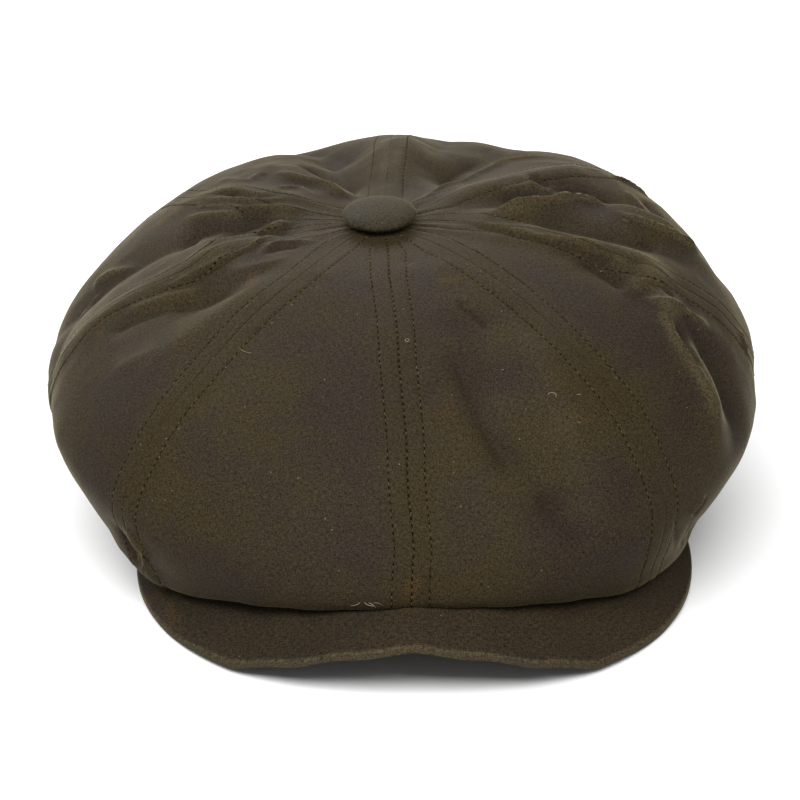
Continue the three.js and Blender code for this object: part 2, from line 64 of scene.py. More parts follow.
# %% The opening and the sizes that hang on it
band_low, band_high = (np.array(corner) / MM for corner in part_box("headband"))
OPENING = np.array([(band_low[0] + band_high[0]) / 2, (band_low[1] + band_high[1]) / 2, 0])
BAND_WALL = 1.8
HEAD_HALF_WIDTH = (band_high[0] - band_low[0]) / 2 - BAND_WALL
HEAD_HALF_LENGTH = (band_high[1] - band_low[1]) / 2 - BAND_WALL
BAND_HEIGHT = 28
GAP = 0.3
CROWN_WALL = 1.3
CROWN_OVERHANG = 42.6
CROWN_HALF = HEAD_HALF_WIDTH + BAND_WALL + GAP + CROWN_WALL + CROWN_OVERHANG
CROWN_HEIGHT = 118
print("opening's middle", OPENING.round(2), "crown's half width", round(CROWN_HALF, 2), "mm")


def to_frame(points):
    """Points in millimetres from the opening's middle, as metres in the frame."""
    return (points + OPENING) * MM


def smooth(value, low, high):
    """0 below low, 1 above high, and between them 3f^2 - 2f^3 of the share f."""
    share = np.clip((value - low) / (high - low), 0, 1)
    return share * share * (3 - 2 * share)


def look_up(xs, ys, x):
    """A table's column ys at x: between two rows the share is half straight and half smooth."""
    xs, ys = np.asarray(xs, float), np.asarray(ys, float)
    i = np.clip(np.searchsorted(xs, x) - 1, 0, len(xs) - 2)
    share = np.clip((x - xs[i]) / (xs[i + 1] - xs[i]), 0, 1)
    share = (share + share * share * (3 - 2 * share)) / 2
    return ys[i] + (ys[i + 1] - ys[i]) * share


def from_front(angle):
    """Degrees from the front, 0 to 180, the same on both sides."""
    return np.abs(np.degrees(np.mod(angle + math.pi, 2 * math.pi) - math.pi))


def polar(reach, angle, height, x=0.0, y=0.0):
    """Points at a reach and azimuth from (x, y), at a height."""
    across, along, up = np.broadcast_arrays(x + reach * np.sin(angle), y - reach * np.cos(angle), height)
    return np.stack([across, along, up], -1)


# %% [markdown]
# ## The peak's and the hem's heights
#
# The peak is a board bent into an arch: its front edge stands off the table in the middle and comes down
# to two lobes at the sides. Two short columns give the heights of its inner and outer edges by azimuth,
# and everything that lies on the peak asks the same functions for its height.

# %% Outline and height of the peak
PEAK_LENGTH, PEAK_SIDE, PEAK_WALL = 56, 10.5, 3.5
PEAK_ARCH, PEAK_RISE, PEAK_CAMBER = 21, 31, 3
PEAK_ASIDE, PEAK_SPAN, PEAK_ROUND_FROM, PEAK_TIP = 2, 88, 68, 3
PEAK_CENTRE, PEAK_SQUARE = 0.47, 0.035
PEAK_CLEARANCE = 0.5
HEM_DROP = (3, 14)
RISE_AZIMUTHS = [0, 9, 18, 27, 40, 60, 80, 95, 110, 180]
RIM_SHARES = [1, 0.97, 0.89, 0.77, 0.54, 0.27, 0.15, 0.08, 0, 0]
EDGE_SHARES = [1, 0.78, 0.42, 0.08, 0, 0.02, 0.16, 0.2, 0.2, 0.2]


def head_reach(angle):
    """Inside of the band: an ellipse's reach, a b / sqrt((b sin)^2 + (a cos)^2)."""
    across = HEAD_HALF_LENGTH * np.sin(angle)
    along = HEAD_HALF_WIDTH * np.cos(angle)
    return HEAD_HALF_WIDTH * HEAD_HALF_LENGTH / np.hypot(across, along)


def stand_reach(angle):
    """Outside of the upright strip of panel round the band."""
    return head_reach(angle) + BAND_WALL + GAP + CROWN_WALL


def rim_height(angle):
    """Height of the peak's inner edge, and of the band's lower edge, at an azimuth."""
    return PEAK_RISE * look_up(RISE_AZIMUTHS, RIM_SHARES, from_front(angle))


def edge_height(angle):
    """Height of the underside of the peak's outer edge at an azimuth."""
    return PEAK_ARCH * look_up(RISE_AZIMUTHS, EDGE_SHARES, from_front(angle))


def peak_inner(angle):
    """Reach of the peak's inner edge, just clear of the band."""
    return head_reach(angle) + BAND_WALL + GAP


def peak_outer(angle):
    """Where a ray from the opening's middle meets an oval further forward: the larger root of the ray's
    quadratic, a little fuller at the corners, tapered in to the band at the two ends."""
    half_width = HEAD_HALF_WIDTH + BAND_WALL + PEAK_SIDE
    forward = PEAK_CENTRE * HEAD_HALF_LENGTH
    half_length = HEAD_HALF_LENGTH + BAND_WALL + PEAK_LENGTH - forward
    ray = np.sin(angle) / half_width, np.cos(angle) / half_length
    centre = PEAK_ASIDE / half_width, forward / half_length
    a = ray[0] ** 2 + ray[1] ** 2
    b = ray[0] * centre[0] + ray[1] * centre[1]
    c = centre[0] ** 2 + centre[1] ** 2 - 1
    oval = (b + np.sqrt(b * b - a * c)) / a
    full = oval * (1 + PEAK_SQUARE * np.sin(2 * angle) ** 2)
    over = np.clip((from_front(angle) - PEAK_ROUND_FROM) / (PEAK_SPAN - PEAK_ROUND_FROM), 0, 1)
    inner = peak_inner(angle)
    return inner + np.maximum(PEAK_TIP, (full - inner) * np.sqrt(1 - over * over))


def peak_under(angle, share):
    """Height of the peak's underside, at a share of the way from its inner to its outer edge."""
    rim = rim_height(angle)
    ruled = rim + (edge_height(angle) - rim) * share
    return ruled + PEAK_CAMBER * np.sin(math.pi * share) * np.cos(angle) ** 2


def hem_height(angle):
    """The panels' hem lies on the peak at the front and comes down to the band's edge behind it."""
    beyond = smooth(from_front(angle), PEAK_SPAN + HEM_DROP[0], PEAK_SPAN + HEM_DROP[1])
    return rim_height(angle) + (PEAK_WALL + PEAK_CLEARANCE) * (1 - beyond)


print("peak's front edge at", round(float(peak_outer(0.0)), 1), "mm from the opening's middle")

# %% [markdown]
# ## The crown's plain form
#
# A newsboy crown is a soft cushion: nearly flat on top, wide at the sides, and tucked in under itself to
# the band. It could be sculpted, but rings joined by splines keep it exact and easy to change. Each ring
# is given by its reach and height at the front, right, back and left, as shares of the crown's half width
# and height, blended round by sines. Square fills its corners, droop lowers the front ones, seat is how
# far it follows the hem, and x and y move it.

# %% Rings from the button down to the hem
RING_COLUMNS = ("reach", "height", "square", "droop", "seat", "x", "y")
RINGS = [dict(zip(RING_COLUMNS, row)) for row in (
    ((0, 0, 0, 0), (0.965, 0.965, 0.965, 0.965), 0, 0, 0, -0.074, 0.044),
    ((0.33, 0.33, 0.31, 0.33), (0.945, 0.975, 0.967, 0.955), 0, 0, 0, -0.03, 0.059),
    ((0.63, 0.62, 0.6, 0.62), (0.83, 0.905, 0.96, 0.89), 0.02, 0, 0, 0.022, 0.052),
    ((0.87, 0.845, 0.83, 0.87), (0.64, 0.73, 0.855, 0.72), 0.03, 0, 0, 0.03, 0.03),
    ((0.99, 0.99, 0.97, 1.02), (0.28, 0.455, 0.61, 0.445), 0.015, 0, 0.5, 0, 0.015),
    ((1.01, 0.9, 0.96, 0.91), (-0.03, 0.22, 0.36, 0.21), -0.005, 0.025, 1, -0.007, 0),
    ((0.93, 0.8, 0.86, 0.81), (-0.05, 0.06, 0.16, 0.05), 0.02, 0.045, 1, 0, 0),
)]
STAND_ROW = len(RINGS)
HEM_ROW = len(RINGS) + 1
STAND_HEIGHT, STAND_AT_FRONT, STAND_GROWS = 18, 0.28, (25, 80)
TIP_RADIUS = 4.4
TIP_ROW = TIP_RADIUS / (RINGS[1]["reach"][0] * CROWN_HALF)


def blend_round(four, angle):
    """Front, right, back and left values as mean + cosine + sine + cosine of twice the azimuth."""
    front, right, back, left = four
    mean, oval = (front + right + back + left) / 4, (front - right + back - left) / 4
    lengthwise, sideways = (front - back) / 2, (right - left) / 2
    return mean + lengthwise * np.cos(angle) + sideways * np.sin(angle) + oval * np.cos(2 * angle)


def ring_point(row, angle):
    """One ring's points: its blended reach and height, with the corners filled and the hem added."""
    if row == HEM_ROW:
        return polar(stand_reach(angle), angle, hem_height(angle))
    if row == STAND_ROW:
        grown = smooth(from_front(angle), *STAND_GROWS)
        stand = STAND_HEIGHT * (STAND_AT_FRONT + (1 - STAND_AT_FRONT) * grown)
        return polar(stand_reach(angle) + GAP, angle, hem_height(angle) + stand)
    ring = RINGS[row]
    corners = np.sin(2 * angle) ** 2
    reach = blend_round(ring["reach"], angle) * (1 + ring["square"] * corners) * CROWN_HALF
    share = blend_round(ring["height"], angle) - ring["droop"] * corners * (1 + np.cos(angle)) / 2
    height = share * CROWN_HEIGHT + ring["seat"] * hem_height(angle)
    return polar(reach, angle, height, ring["x"] * CROWN_HALF, ring["y"] * CROWN_HALF)


def plain_point(angle, row):
    """The rings joined by uniform Catmull-Rom splines: four neighbouring rings, weighted by the share
    of the way between the middle two."""
    angle, row = np.broadcast_arrays(np.asarray(angle, float), np.asarray(row, float))
    rings = np.stack([ring_point(k, angle) for k in range(HEM_ROW + 1)])
    rings = np.concatenate([2 * rings[:1] - rings[1:2], rings, 2 * rings[-1:] - rings[-2:-1]])
    i = np.clip(np.floor(row).astype(int), 0, HEM_ROW - 1)
    f = (row - i)[..., None]
    a, b, c, d = (np.take_along_axis(rings, (i + k)[None, ..., None], 0)[0] for k in range(4))
    bend = (c - a) * f + (2 * a - 5 * b + 4 * c - d) * f**2 + (3 * b - a - 3 * c + d) * f**3
    return b + bend / 2


def unit(vectors):
    """Vectors made one long."""
    return vectors / np.linalg.norm(vectors, axis=-1, keepdims=True)


def plain_normal(angle, row):
    """Outward direction: across the step down and the step round."""
    turn, step = 0.01, 0.03
    around = plain_point(angle + turn, row) - plain_point(angle - turn, row)
    down = plain_point(angle, row + step) - plain_point(angle, row - step)
    return unit(np.cross(down, around))


print("crown's top at", plain_point(0.0, 0.0).round(1), "widest at", plain_point(math.pi / 2, 4.0).round(1))

# %% [markdown]
# ## Seams
#
# Eight seams run from the button to the hem. They wander a little, because the cloth has slumped, so
# each has its azimuth at a few rows. A panel's point is asked for by its share across, from one seam to
# the next, and its row.

# %% Seam lines
SEAM_ROWS = [0, 1, 2, 3, 4, 8]
SEAMS = [
    ("front", (2, -4, -5, -3, 0, 0)),
    ("front_right", (42, 37, 36, 39, 42, 45)),
    ("right", (92, 76, 73, 81, 86, 90)),
    ("back_right", (124, 129, 129, 131, 134, 135)),
    ("back", (180, 184, 185.5, 183, 180, 180)),
    ("back_left", (258, 252, 246, 235, 229, 225)),
    ("left", (284, 275, 283, 276, 275, 270)),
    ("front_left", (314, 318, 313, 312, 312, 315)),
]


def seam_azimuth(seam, row):
    """Azimuth of a seam at a row, in radians. The seam after the last is the first, a turn on."""
    whole = 360 * (seam // len(SEAMS))
    return np.radians(look_up(SEAM_ROWS, SEAMS[seam % len(SEAMS)][1], row) + whole)


def panel_width(panel, row):
    """Straight distance between a panel's two seams at a row."""
    left, right = seam_azimuth(panel, row), seam_azimuth(panel + 1, row)
    return np.linalg.norm(plain_point(left, row) - plain_point(right, row), axis=-1)


print("panel widths at row 3", [round(float(panel_width(k, np.array(3.0))), 1) for k in range(8)])

# %% [markdown]
# ## Folds
#
# Waxed cotton is stiff: it folds in a few long ridges with a narrow crest, and between them it stays
# smooth. A cloth simulation would put folds in other places than this cap's, so each one is a line on
# the plain form, and the cloth rises beside it by a bell of the distance, with a sharper crest mixed in.
# A row gives a fold's start and end as azimuth and row, then its width and rise as shares of a usual
# fold's. A valley has a rise below 0.

# %% Fold lines
FOLD_WIDTH, FOLD_RISE = 10, 6
FOLD_STEPS, FOLD_FADE, FOLD_END = 6, 0.3, 0.35
FOLD_CREST = 0.45
CREST_TIP, CREST_WIDTH, FADE_FROM, FADE_TO = 0.1, 0.6, 2.2, 3
FOLDS = [
    ("ridge on the back right seam", (126, 0.4), (129, 2.2), 1.0, 0.5),
    ("valley behind the right ridge", (106, 0.7), (112, 2.3), 0.9, -0.85),
    ("right ridge", (92, 0.8), (107, 1.6), 0.8, 0.8),
    ("right ridge, lower part", (107, 1.6), (97, 2.8), 0.9, 0.7),
    ("valley over the right seam", (84, 0.9), (88, 2.4), 0.8, -0.6),
    ("ridge on the right seam", (78, 0.8), (75, 2.5), 0.9, 0.5),
    ("valley under the right seam", (68, 1.5), (64, 2.1), 0.8, -0.45),
    ("forked ridge", (75, 2.0), (60, 2.6), 0.8, 0.7),
    ("forked ridge, long arm", (61, 2.5), (57, 3.6), 0.9, 0.7),
    ("forked ridge, short arm", (66, 2.3), (72, 2.9), 0.7, 0.45),
    ("valley beside the forked ridge", (67, 2.6), (63, 3.8), 0.9, -0.7),
    ("soft valley, front right", (19, 1.3), (12, 2.5), 1.4, -0.4),
    ("soft valley, front right, lower part", (13, 2.4), (24, 4.0), 1.4, -0.5),
    ("soft ridge, front right", (28, 1.6), (26, 3.2), 1.6, 0.4),
    ("left valley", (278, 0.6), (264, 1.8), 1.1, -0.9),
    ("left valley, lower part", (264, 1.8), (262, 3.9), 1.2, -0.65),
    ("ridge on the back left seam", (240, 0.5), (246, 2.3), 0.9, 0.5),
    ("back left ridge", (214, 0.5), (224, 1.8), 0.8, 0.8),
    ("back left valley", (202, 0.6), (203, 2.4), 1.3, -1.25),
    ("ridge on the back seam", (180, 0.8), (180, 2.2), 1.1, 0.65),
    ("back right dent", (158, 0.8), (156, 2.4), 1.8, -1.0),
    ("right shoulder dent", (112, 2.5), (103, 3.6), 1.8, -0.55),
    ("ridge on the left seam", (277, 0.8), (282, 2.2), 0.9, 0.5),
    ("ridge on the left seam, lower part", (282, 2.2), (275, 3.5), 1.0, 0.45),
    ("valley under the left seam", (303, 0.9), (294, 2.4), 1.2, -0.5),
    ("left panel ridge", (306, 1.3), (301, 2.8), 1.0, 0.35),
    ("lower left fold", (303, 4.7), (317, 5.5), 0.8, 0.5),
    ("lower left crease", (297, 4.8), (308, 5.6), 0.7, -0.55),
    ("lower right crease", (55, 4.9), (67, 5.2), 0.8, -0.7),
    ("left side dent", (262, 3.4), (288, 4.4), 1.5, -0.5),
    ("right side dent", (78, 3.9), (98, 4.5), 1.4, -0.5),
    ("back left dip on the skyline", (195, 1.6), (206, 2.9), 1.4, -0.6),
    ("back right dip on the skyline", (173, 1.5), (172, 2.9), 1.2, -0.65),
    ("back right dip, tail", (163, 2.0), (154, 2.9), 1.4, -0.35),
    ("back dent", (150, 3.2), (170, 4.6), 1.7, -0.5),
    ("back left dent", (206, 3.0), (196, 4.4), 1.7, -0.45),
]


def line_on_form(azimuths, rows):
    """Points on the plain form at azimuths in degrees and rows."""
    return plain_point(np.radians(azimuths), np.asarray(rows, float))


def line_lift(points, line, width, rise, crest, end):
    """rise times a bell exp(-(d/w)^2) of the distance d to the line, partly swapped for a sharper
    exp(-d/w) crest rounded at its tip, and faded to a share at both ends of the line."""
    lift = np.zeros(points.shape[:-1])
    margin = FADE_TO * width
    beside = np.all((points > line.min(0) - margin) & (points < line.max(0) + margin), -1)
    if not beside.any():
        return lift
    near = points[beside]
    nearest = np.full(len(near), np.inf)
    along = np.zeros(len(near))
    for i in range(len(line) - 1):
        stretch = line[i + 1] - line[i]
        f = np.clip((near - line[i]) @ stretch / (stretch @ stretch), 0, 1)
        distance = np.linalg.norm(near - line[i] - f[:, None] * stretch, axis=-1)
        closer = distance < nearest
        nearest = np.where(closer, distance, nearest)
        along = np.where(closer, (i + f) / (len(line) - 1), along)
    bell = np.exp(-((nearest / width) ** 2))
    tip = CREST_TIP * width
    sharp = np.exp(-(np.hypot(nearest, tip) - tip) / (CREST_WIDTH * width))
    grown = smooth(np.minimum(along, 1 - along), 0, FOLD_FADE)
    edge = 1 - smooth(nearest, FADE_FROM * width, margin)
    lift[beside] = rise * (bell * (1 - crest) + sharp * crest) * (end + (1 - end) * grown) * edge
    return lift


def fold_points(start, end):
    """A fold's line: even steps in azimuth and row from its start to its end."""
    share = np.linspace(0, 1, FOLD_STEPS + 1)
    return line_on_form(start[0] + (end[0] - start[0]) * share, start[1] + (end[1] - start[1]) * share)


lines = [
    (fold_points(start, end), wide * FOLD_WIDTH, rise * FOLD_RISE, FOLD_CREST, FOLD_END)
    for _, start, end, wide, rise in FOLDS
]
print(len(lines), "folds, the longest", round(max(np.ptp(line[0], 0).max() for line in lines)), "mm")

# %% [markdown]
# ## Creases
#
# Along and between the big folds run small sharp creases, each a few millimetres wide, where the waxed
# cloth has been bent over and over. They are drawn like the folds, but along bent lines. A row gives a
# crease's width and rise in millimetres, then azimuth and row point by point. A fall has a rise below 0.
# All of them are then drawn a little narrower and deeper by the same two shares.

# %% Crease lines
CREASE_SHARP, CREASE_DEPTH, CREASE_WIDE = 0.75, 1.3, 0.8
CREASES = [
    ("back left crest", 3, 1.8, (214, 0.55, 219, 0.75, 222, 1.01, 226, 1.24, 227, 1.41, 228, 1.68)),
    ("back left crest, down", 3, 1.2, (228, 1.68, 231, 1.75, 236, 1.72)),
    ("back left hollow", 9, -2.6, (203, 0.9, 208, 1.2, 212, 1.5, 216, 1.75)),
    ("upper left pucker, far", 2.5, 0.9, (232, 2.39, 236, 1.87, 236, 1.63)),
    ("upper left pucker, second", 2.5, 1.1, (244, 1.88, 246, 1.61, 247, 1.38, 245, 1.16)),
    ("upper left arch", 2.3, 1.1, (244, 1.17, 238, 1.27, 233, 1.2, 231, 1.09, 233, 0.95, 235, 0.76)),
    ("upper left dip", 3, -1.0, (245, 1.98, 247, 1.76, 248, 1.5)),
    ("upper left pucker, third", 2.2, 1.0,
     (245, 2.17, 249, 1.93, 250, 1.58, 250, 1.3, 248, 1.08, 245, 0.97)),
    ("upper left pucker, near", 2.2, 1.0,
     (247, 2.25, 251, 2.04, 254, 1.58, 252, 1.11, 252, 0.82, 254, 0.6)),
    ("left valley's far edge", 4, 1.4, (253, 2.26, 255, 2.01, 256, 1.76, 257, 1.49, 256, 1.38)),
    ("left valley's floor", 8, -2.4, (259, 0.94, 260, 1.2, 261, 1.66, 261, 1.98, 264, 2.14, 268, 2.3)),
    ("left valley's near edge", 3, 1.7, (262, 0.78, 264, 0.98, 268, 1.19, 274, 1.35, 276, 1.76, 278, 2.09)),
    ("left seam's fine ridge", 1.7, 1.0, (282, 2.45, 285, 2.2, 286, 1.77, 285, 1.33, 278, 1.08, 278, 0.6)),
    ("left seam's fine groove", 1.7, -0.9, (286, 2.17, 287, 1.95, 287, 1.71, 286, 1.46, 284, 1.19)),
    ("left seam's lower ridge", 3, 1.0, (282, 2.8, 284, 2.59, 286, 2.39, 290, 2.1, 291, 1.93)),
    ("left panel, soft ridge", 6, 1.0, (289, 1.74, 293, 1.55, 296, 1.35, 300, 1.14, 304, 0.95)),
    ("left panel, hollow by the button", 4, -1.0, (291, 1.25, 291, 1.09, 293, 0.94, 298, 0.81)),
    ("left panel, crease by the button", 2.5, 1.0, (291, 1.3, 287, 1.12, 285, 0.98, 291, 0.82, 301, 0.68)),
    ("left panel, dark hollow", 9, -1.5, (290, 2.4, 292, 2.26, 295, 2.09, 298, 1.84, 306, 1.57)),
    ("left edge ridge", 4, 1.6, (257, 3.37, 258, 3.26, 259, 3.07, 261, 2.89, 263, 2.67)),
    ("left edge crease", 1.7, 1.0, (266, 3.52, 264, 3.43, 262, 3.34, 261, 3.2)),
    ("under the left seam", 6, -1.3, (282, 3.07, 285, 2.85, 287, 2.64, 290, 2.39, 293, 2.1)),
    ("left side, soft ridge", 8, 0.9, (293, 3.15, 297, 2.8, 301, 2.55)),
    ("lower left edge", 1.9, 1.3, (311, 4.33, 313, 4.43, 315, 4.65, 314, 4.9, 313, 5.05, 315, 5.28)),
    ("lower left dip", 3, -1.4, (309, 4.39, 310, 4.62, 311, 4.84, 311, 5.06)),
    ("lower left nick", 1.3, -0.6, (318, 4.28, 320, 4.3, 321, 4.3)),
    ("back right crest", 3, 1.5,
     (145, 0.45, 146, 0.65, 148, 0.97, 150, 1.41, 150, 1.8, 146, 2.03, 141, 2.25)),
    ("back right crest, down", 2.6, 1.2, (128, 2.36, 127, 2.5, 126, 2.74, 123, 2.83)),
    ("back right hollow", 8, -1.8, (160, 0.95, 160, 1.5, 159, 1.95)),
    ("back right pucker", 2.5, 1.1, (119, 1.05, 120, 1.14, 120, 1.25, 120, 1.38, 118, 1.43, 115, 1.48)),
    ("back right pucker's dip", 3.5, -1.4, (112, 0.97, 114, 1.14, 115, 1.27, 115, 1.38)),
    ("back right nick", 2.5, 0.9, (128, 1.35, 123, 1.33, 119, 1.33)),
    ("back right nick's dip", 3, -1.1, (127, 1.41, 122, 1.44, 118, 1.47)),
    ("right crest", 3, 2.0,
     (90, 0.78, 93, 0.89, 96, 1.03, 99, 1.14, 103, 1.35, 107, 1.58, 105, 1.72, 101, 1.82)),
    ("right crest's peak", 8, 1.7, (101, 1.3, 106, 1.5, 107, 1.66, 103, 1.8)),
    ("right crest, down", 2.6, 1.7, (101, 1.82, 98, 1.95, 97, 2.2, 97, 2.47, 98, 2.67, 98, 2.8)),
    ("right hollow", 8, -1.9, (118, 1.4, 118, 1.62, 117, 1.8, 112, 1.95, 108, 2.1)),
    ("far right ridge", 3, 1.0, (120, 2.28, 116, 2.35, 111, 2.4)),
    ("far right dip", 3.5, -1.1, (119, 2.51, 115, 2.55, 110, 2.6)),
    ("right dent", 4, -0.9, (91, 2.04, 89, 2.12, 88, 2.21)),
    ("right seam's fine ridge", 1.7, 1.0,
     (88, 0.42, 80, 0.66, 74, 0.9, 71, 1.22, 75, 1.55, 74, 1.76, 70, 2.04)),
    ("right seam's fine groove", 1.7, -0.9, (76, 0.6, 71, 0.76, 68, 1.09, 71, 1.38, 72, 1.68, 69, 2.04)),
    ("right seam's broad ridge", 6, 1.6, (72, 1.74, 70, 1.84, 69, 1.93, 66, 2.04, 64, 2.15)),
    ("fork, upper arm", 2.4, 1.5, (63, 2.12, 64, 2.23, 65, 2.33, 66, 2.4, 68, 2.55, 70, 2.69, 73, 2.88)),
    ("fork, lower arm", 3, 1.9, (63, 2.3, 61, 2.44, 59, 2.6, 58, 2.8, 57, 3.0, 57, 3.21, 56, 3.46)),
    ("fork's valley", 4.5, -2.0, (64, 2.42, 62, 2.58, 60, 2.7, 59, 2.85, 59, 3.05)),
    ("fork's near side", 5, -0.9, (68, 1.74, 66, 1.87, 63, 1.99)),
    ("behind the fork", 3, -1.0, (69, 2.1, 69, 2.2, 69, 2.33, 70, 2.42)),
    ("front right crease", 2, -1.0, (18, 1.33, 19, 1.47, 21, 1.61, 21, 1.77)),
    ("front right hollow", 8, -1.8, (6, 1.8, 9, 2.03, 10, 2.36, 11, 2.61, 13, 2.85, 14, 3.08, 15, 3.29)),
    ("front right hollow, lower", 8, -1.2, (19, 3.35, 21, 3.56, 23, 3.78, 25, 4.02, 28, 4.35)),
    ("right edge", 3, 0.9, (84, 3.32, 82, 3.4, 81, 3.52)),
    ("lower right edge", 1.8, 1.2, (52, 4.15, 50, 4.22, 48, 4.32)),
    ("lower right dip", 2.2, -1.0, (53, 4.22, 51, 4.3, 50, 4.42)),
    ("lower right pleat", 1.5, -0.6, (49, 4.39, 51, 4.79, 55, 5.4)),
    ("lower right pleat, near", 1.5, -0.6, (44, 4.16, 46, 4.54, 50, 5.14)),
]

for _, width, rise, places in CREASES:
    line = line_on_form(places[0::2], places[1::2])
    lines.append((line, width * CREASE_WIDE, rise * CREASE_DEPTH, CREASE_SHARP, 0))
print(len(CREASES), "creases")

# %% [markdown]
# ## Wrinkles
#
# Between the folds the cloth isn't quite smooth. It is gathered in small pleats where the tips meet
# under the button, it puckers along each row of stitches because the thread pulls it, and it keeps soft
# dents from handling. All three are smooth random heights, stretched along the way the cloth is pulled.

# %% Smooth random heights
def scatter(cells, seed):
    """A number from -1 to 1 for each lattice cell, by mixing the cell's whole numbers."""
    x, y, z = (cells[..., k].astype(np.int64) for k in range(3))
    mixed = (x * 73856093) ^ (y * 19349663) ^ (z * 83492791) ^ (seed * 2654435761)
    mixed = (mixed ^ (mixed >> 13)) * 1274126177
    return ((mixed ^ (mixed >> 16)) & 0xFFFF) / 32767.5 - 1


def soft_noise(points, seed):
    """Random values on a cubic lattice one unit apart, blended between its eight corners."""
    cell = np.floor(points)
    f = points - cell
    f = f * f * (3 - 2 * f)
    total = np.zeros(points.shape[:-1])
    for corner in np.ndindex(2, 2, 2):
        weight = np.prod(np.where(corner, f, 1 - f), -1)
        total = total + weight * scatter(cell + np.array(corner), seed)
    return total


def round_noise(angle, row, turns, per_row, seed):
    """Noise that closes round the cap, with about this many waves a turn and a row."""
    spread = turns / (2 * math.pi)
    around = np.stack([np.cos(angle) * spread, np.sin(angle) * spread, row * per_row], -1)
    return soft_noise(around + 40, seed)


DENTS, DENT_SIZE = 0.9, 34
CRUMPLES, CRUMPLE_SIZE, FINE_SIZE, FINE_SHARE = 0.35, 19, 9, 0.4
PLEATS, PLEATS_ROUND = 0.54, 34
PUCKERS, PUCKER_PLACE, PUCKER_WIDTH = 0.3, 8, 4
DENT_ROWS, HANDLED_SIDES, HANDLED_ROWS = (0.3, 1.2), (45, 90), (0.25, 0.9)
PLEATS_GROW, PLEATS_END, PLEATED_SIDES = (0.12, 0.3), (0.35, 1.5), (30, 70)


def bent(noise):
    """Soft noise turned into rounded ridges with sharper valleys, as creased cloth has."""
    return 1 - 2 * np.sqrt(noise * noise + 0.01)


def wrinkles(angle, row, base, to_seam):
    """Height of the small wrinkles: dents, crumples, pleats by the button and puckers by a seam."""
    away = from_front(angle)
    dents = DENTS * soft_noise(base / DENT_SIZE + 7, 1) * smooth(row, *DENT_ROWS)
    handled = 0.15 + 0.85 * smooth(away, *HANDLED_SIDES) * smooth(row, *HANDLED_ROWS)
    broad = bent(soft_noise(base / CRUMPLE_SIZE + 11, 2))
    fine = bent(soft_noise(base / FINE_SIZE + 3, 3))
    crumples = CRUMPLES * handled * (broad + FINE_SHARE * fine)
    near_button = smooth(row, *PLEATS_GROW) * (1 - smooth(row, *PLEATS_END))
    pleated = near_button * (0.3 + 0.7 * smooth(away, *PLEATED_SIDES))
    pleats = PLEATS * pleated * bent(round_noise(angle, row, PLEATS_ROUND, 0.6, 4))
    beside = np.exp(-(((to_seam - PUCKER_PLACE) / PUCKER_WIDTH) ** 2))
    puckers = PUCKERS * beside * round_noise(angle * 0.2, row, 6, 6.5, 5)
    return dents + crumples + pleats + puckers


print("noise at two points", soft_noise(np.array([[0.5, 0.2, 0.1], [3.3, 1, 2]]), 1).round(3))

# %% [markdown]
# ## Seam relief
#
# Behind each seam the edges of both panels are pressed open and stitched down, so the cloth is thicker
# there. The eye sees a faint groove where the panels meet, a barely raised strip on each side of it, and
# a small dip along each row of topstitches.

# %% Relief across a seam
SEAM_MARGIN = 6.4
STRIP_RISE = 0.22
STRIP_SLOPE = (5.8, 8.8)
GROOVE_DEPTH, GROOVE_WIDTH = 0.2, 0.4
DIP_DEPTH, DIP_WIDTH = 0.22, 0.6
STRIP_COLUMNS = 8.6


def narrowing(width):
    """1 on a wide panel, less near the button, where the strips have to share the panel's width."""
    return np.minimum(1, 0.46 * width / STRIP_COLUMNS)


def seam_relief(to_seam):
    """A raised strip that ends softly, less a groove on the seam and a dip along the stitches."""
    strip = STRIP_RISE * (1 - smooth(to_seam, *STRIP_SLOPE))
    groove = GROOVE_DEPTH * np.exp(-((to_seam / GROOVE_WIDTH) ** 2))
    dip = DIP_DEPTH * np.exp(-(((to_seam - SEAM_MARGIN) / DIP_WIDTH) ** 2))
    return strip - groove - dip


print("relief at 0, 3, 6.4 and 10 mm", seam_relief(np.array([0.0, 3, SEAM_MARGIN, 10])).round(2))

# %% [markdown]
# ## The cloth's surface
#
# One function now gives any point of the crown's cloth: the plain form, lifted along its own outward
# direction by the folds, the wrinkles and the seam's relief. The folds begin a little out from the
# button and end where the cloth stands up round the band. Near the opening the cloth stays outside the
# band and rests on the peak.

# %% A point of the cloth
FOLDS_FROM = (2 * TIP_ROW, 7 * TIP_ROW)
WRINKLES_FROM = (TIP_ROW, 3 * TIP_ROW)
FLAT_FROM = (STAND_ROW - 0.8, STAND_ROW - 0.2)
STAND_RELIEF = 0.6
LOW_FROM = STAND_ROW - 3
PAST_EDGE = 1.05
OFF_FLOOR = 0.01


def keep_clear(points, row, layer):
    """Low points are pushed out past the stand and up onto the peak, and none goes below the floor."""
    angle = np.arctan2(points[..., 0], -points[..., 1])
    reach = np.hypot(points[..., 0], points[..., 1])
    least = stand_reach(angle) - layer
    low = row >= LOW_FROM
    push = np.where(low & (reach < least), least / reach, 1)
    moved = points * np.stack([push, push, np.ones_like(push)], -1)
    inner = peak_inner(angle)
    share = (reach * push - inner) / (peak_outer(angle) - inner)
    over_peak = (from_front(angle) < PEAK_SPAN + HEM_DROP[0]) & (share < PAST_EDGE)
    rest = peak_under(angle, np.clip(share, 0, 1)) + PEAK_WALL + PEAK_CLEARANCE + layer
    lowest = np.where(over_peak, np.maximum(rest, 0), OFF_FLOOR if layer > 0 else 0)
    moved[..., 2] = np.where(low, np.maximum(moved[..., 2], lowest), moved[..., 2])
    return moved


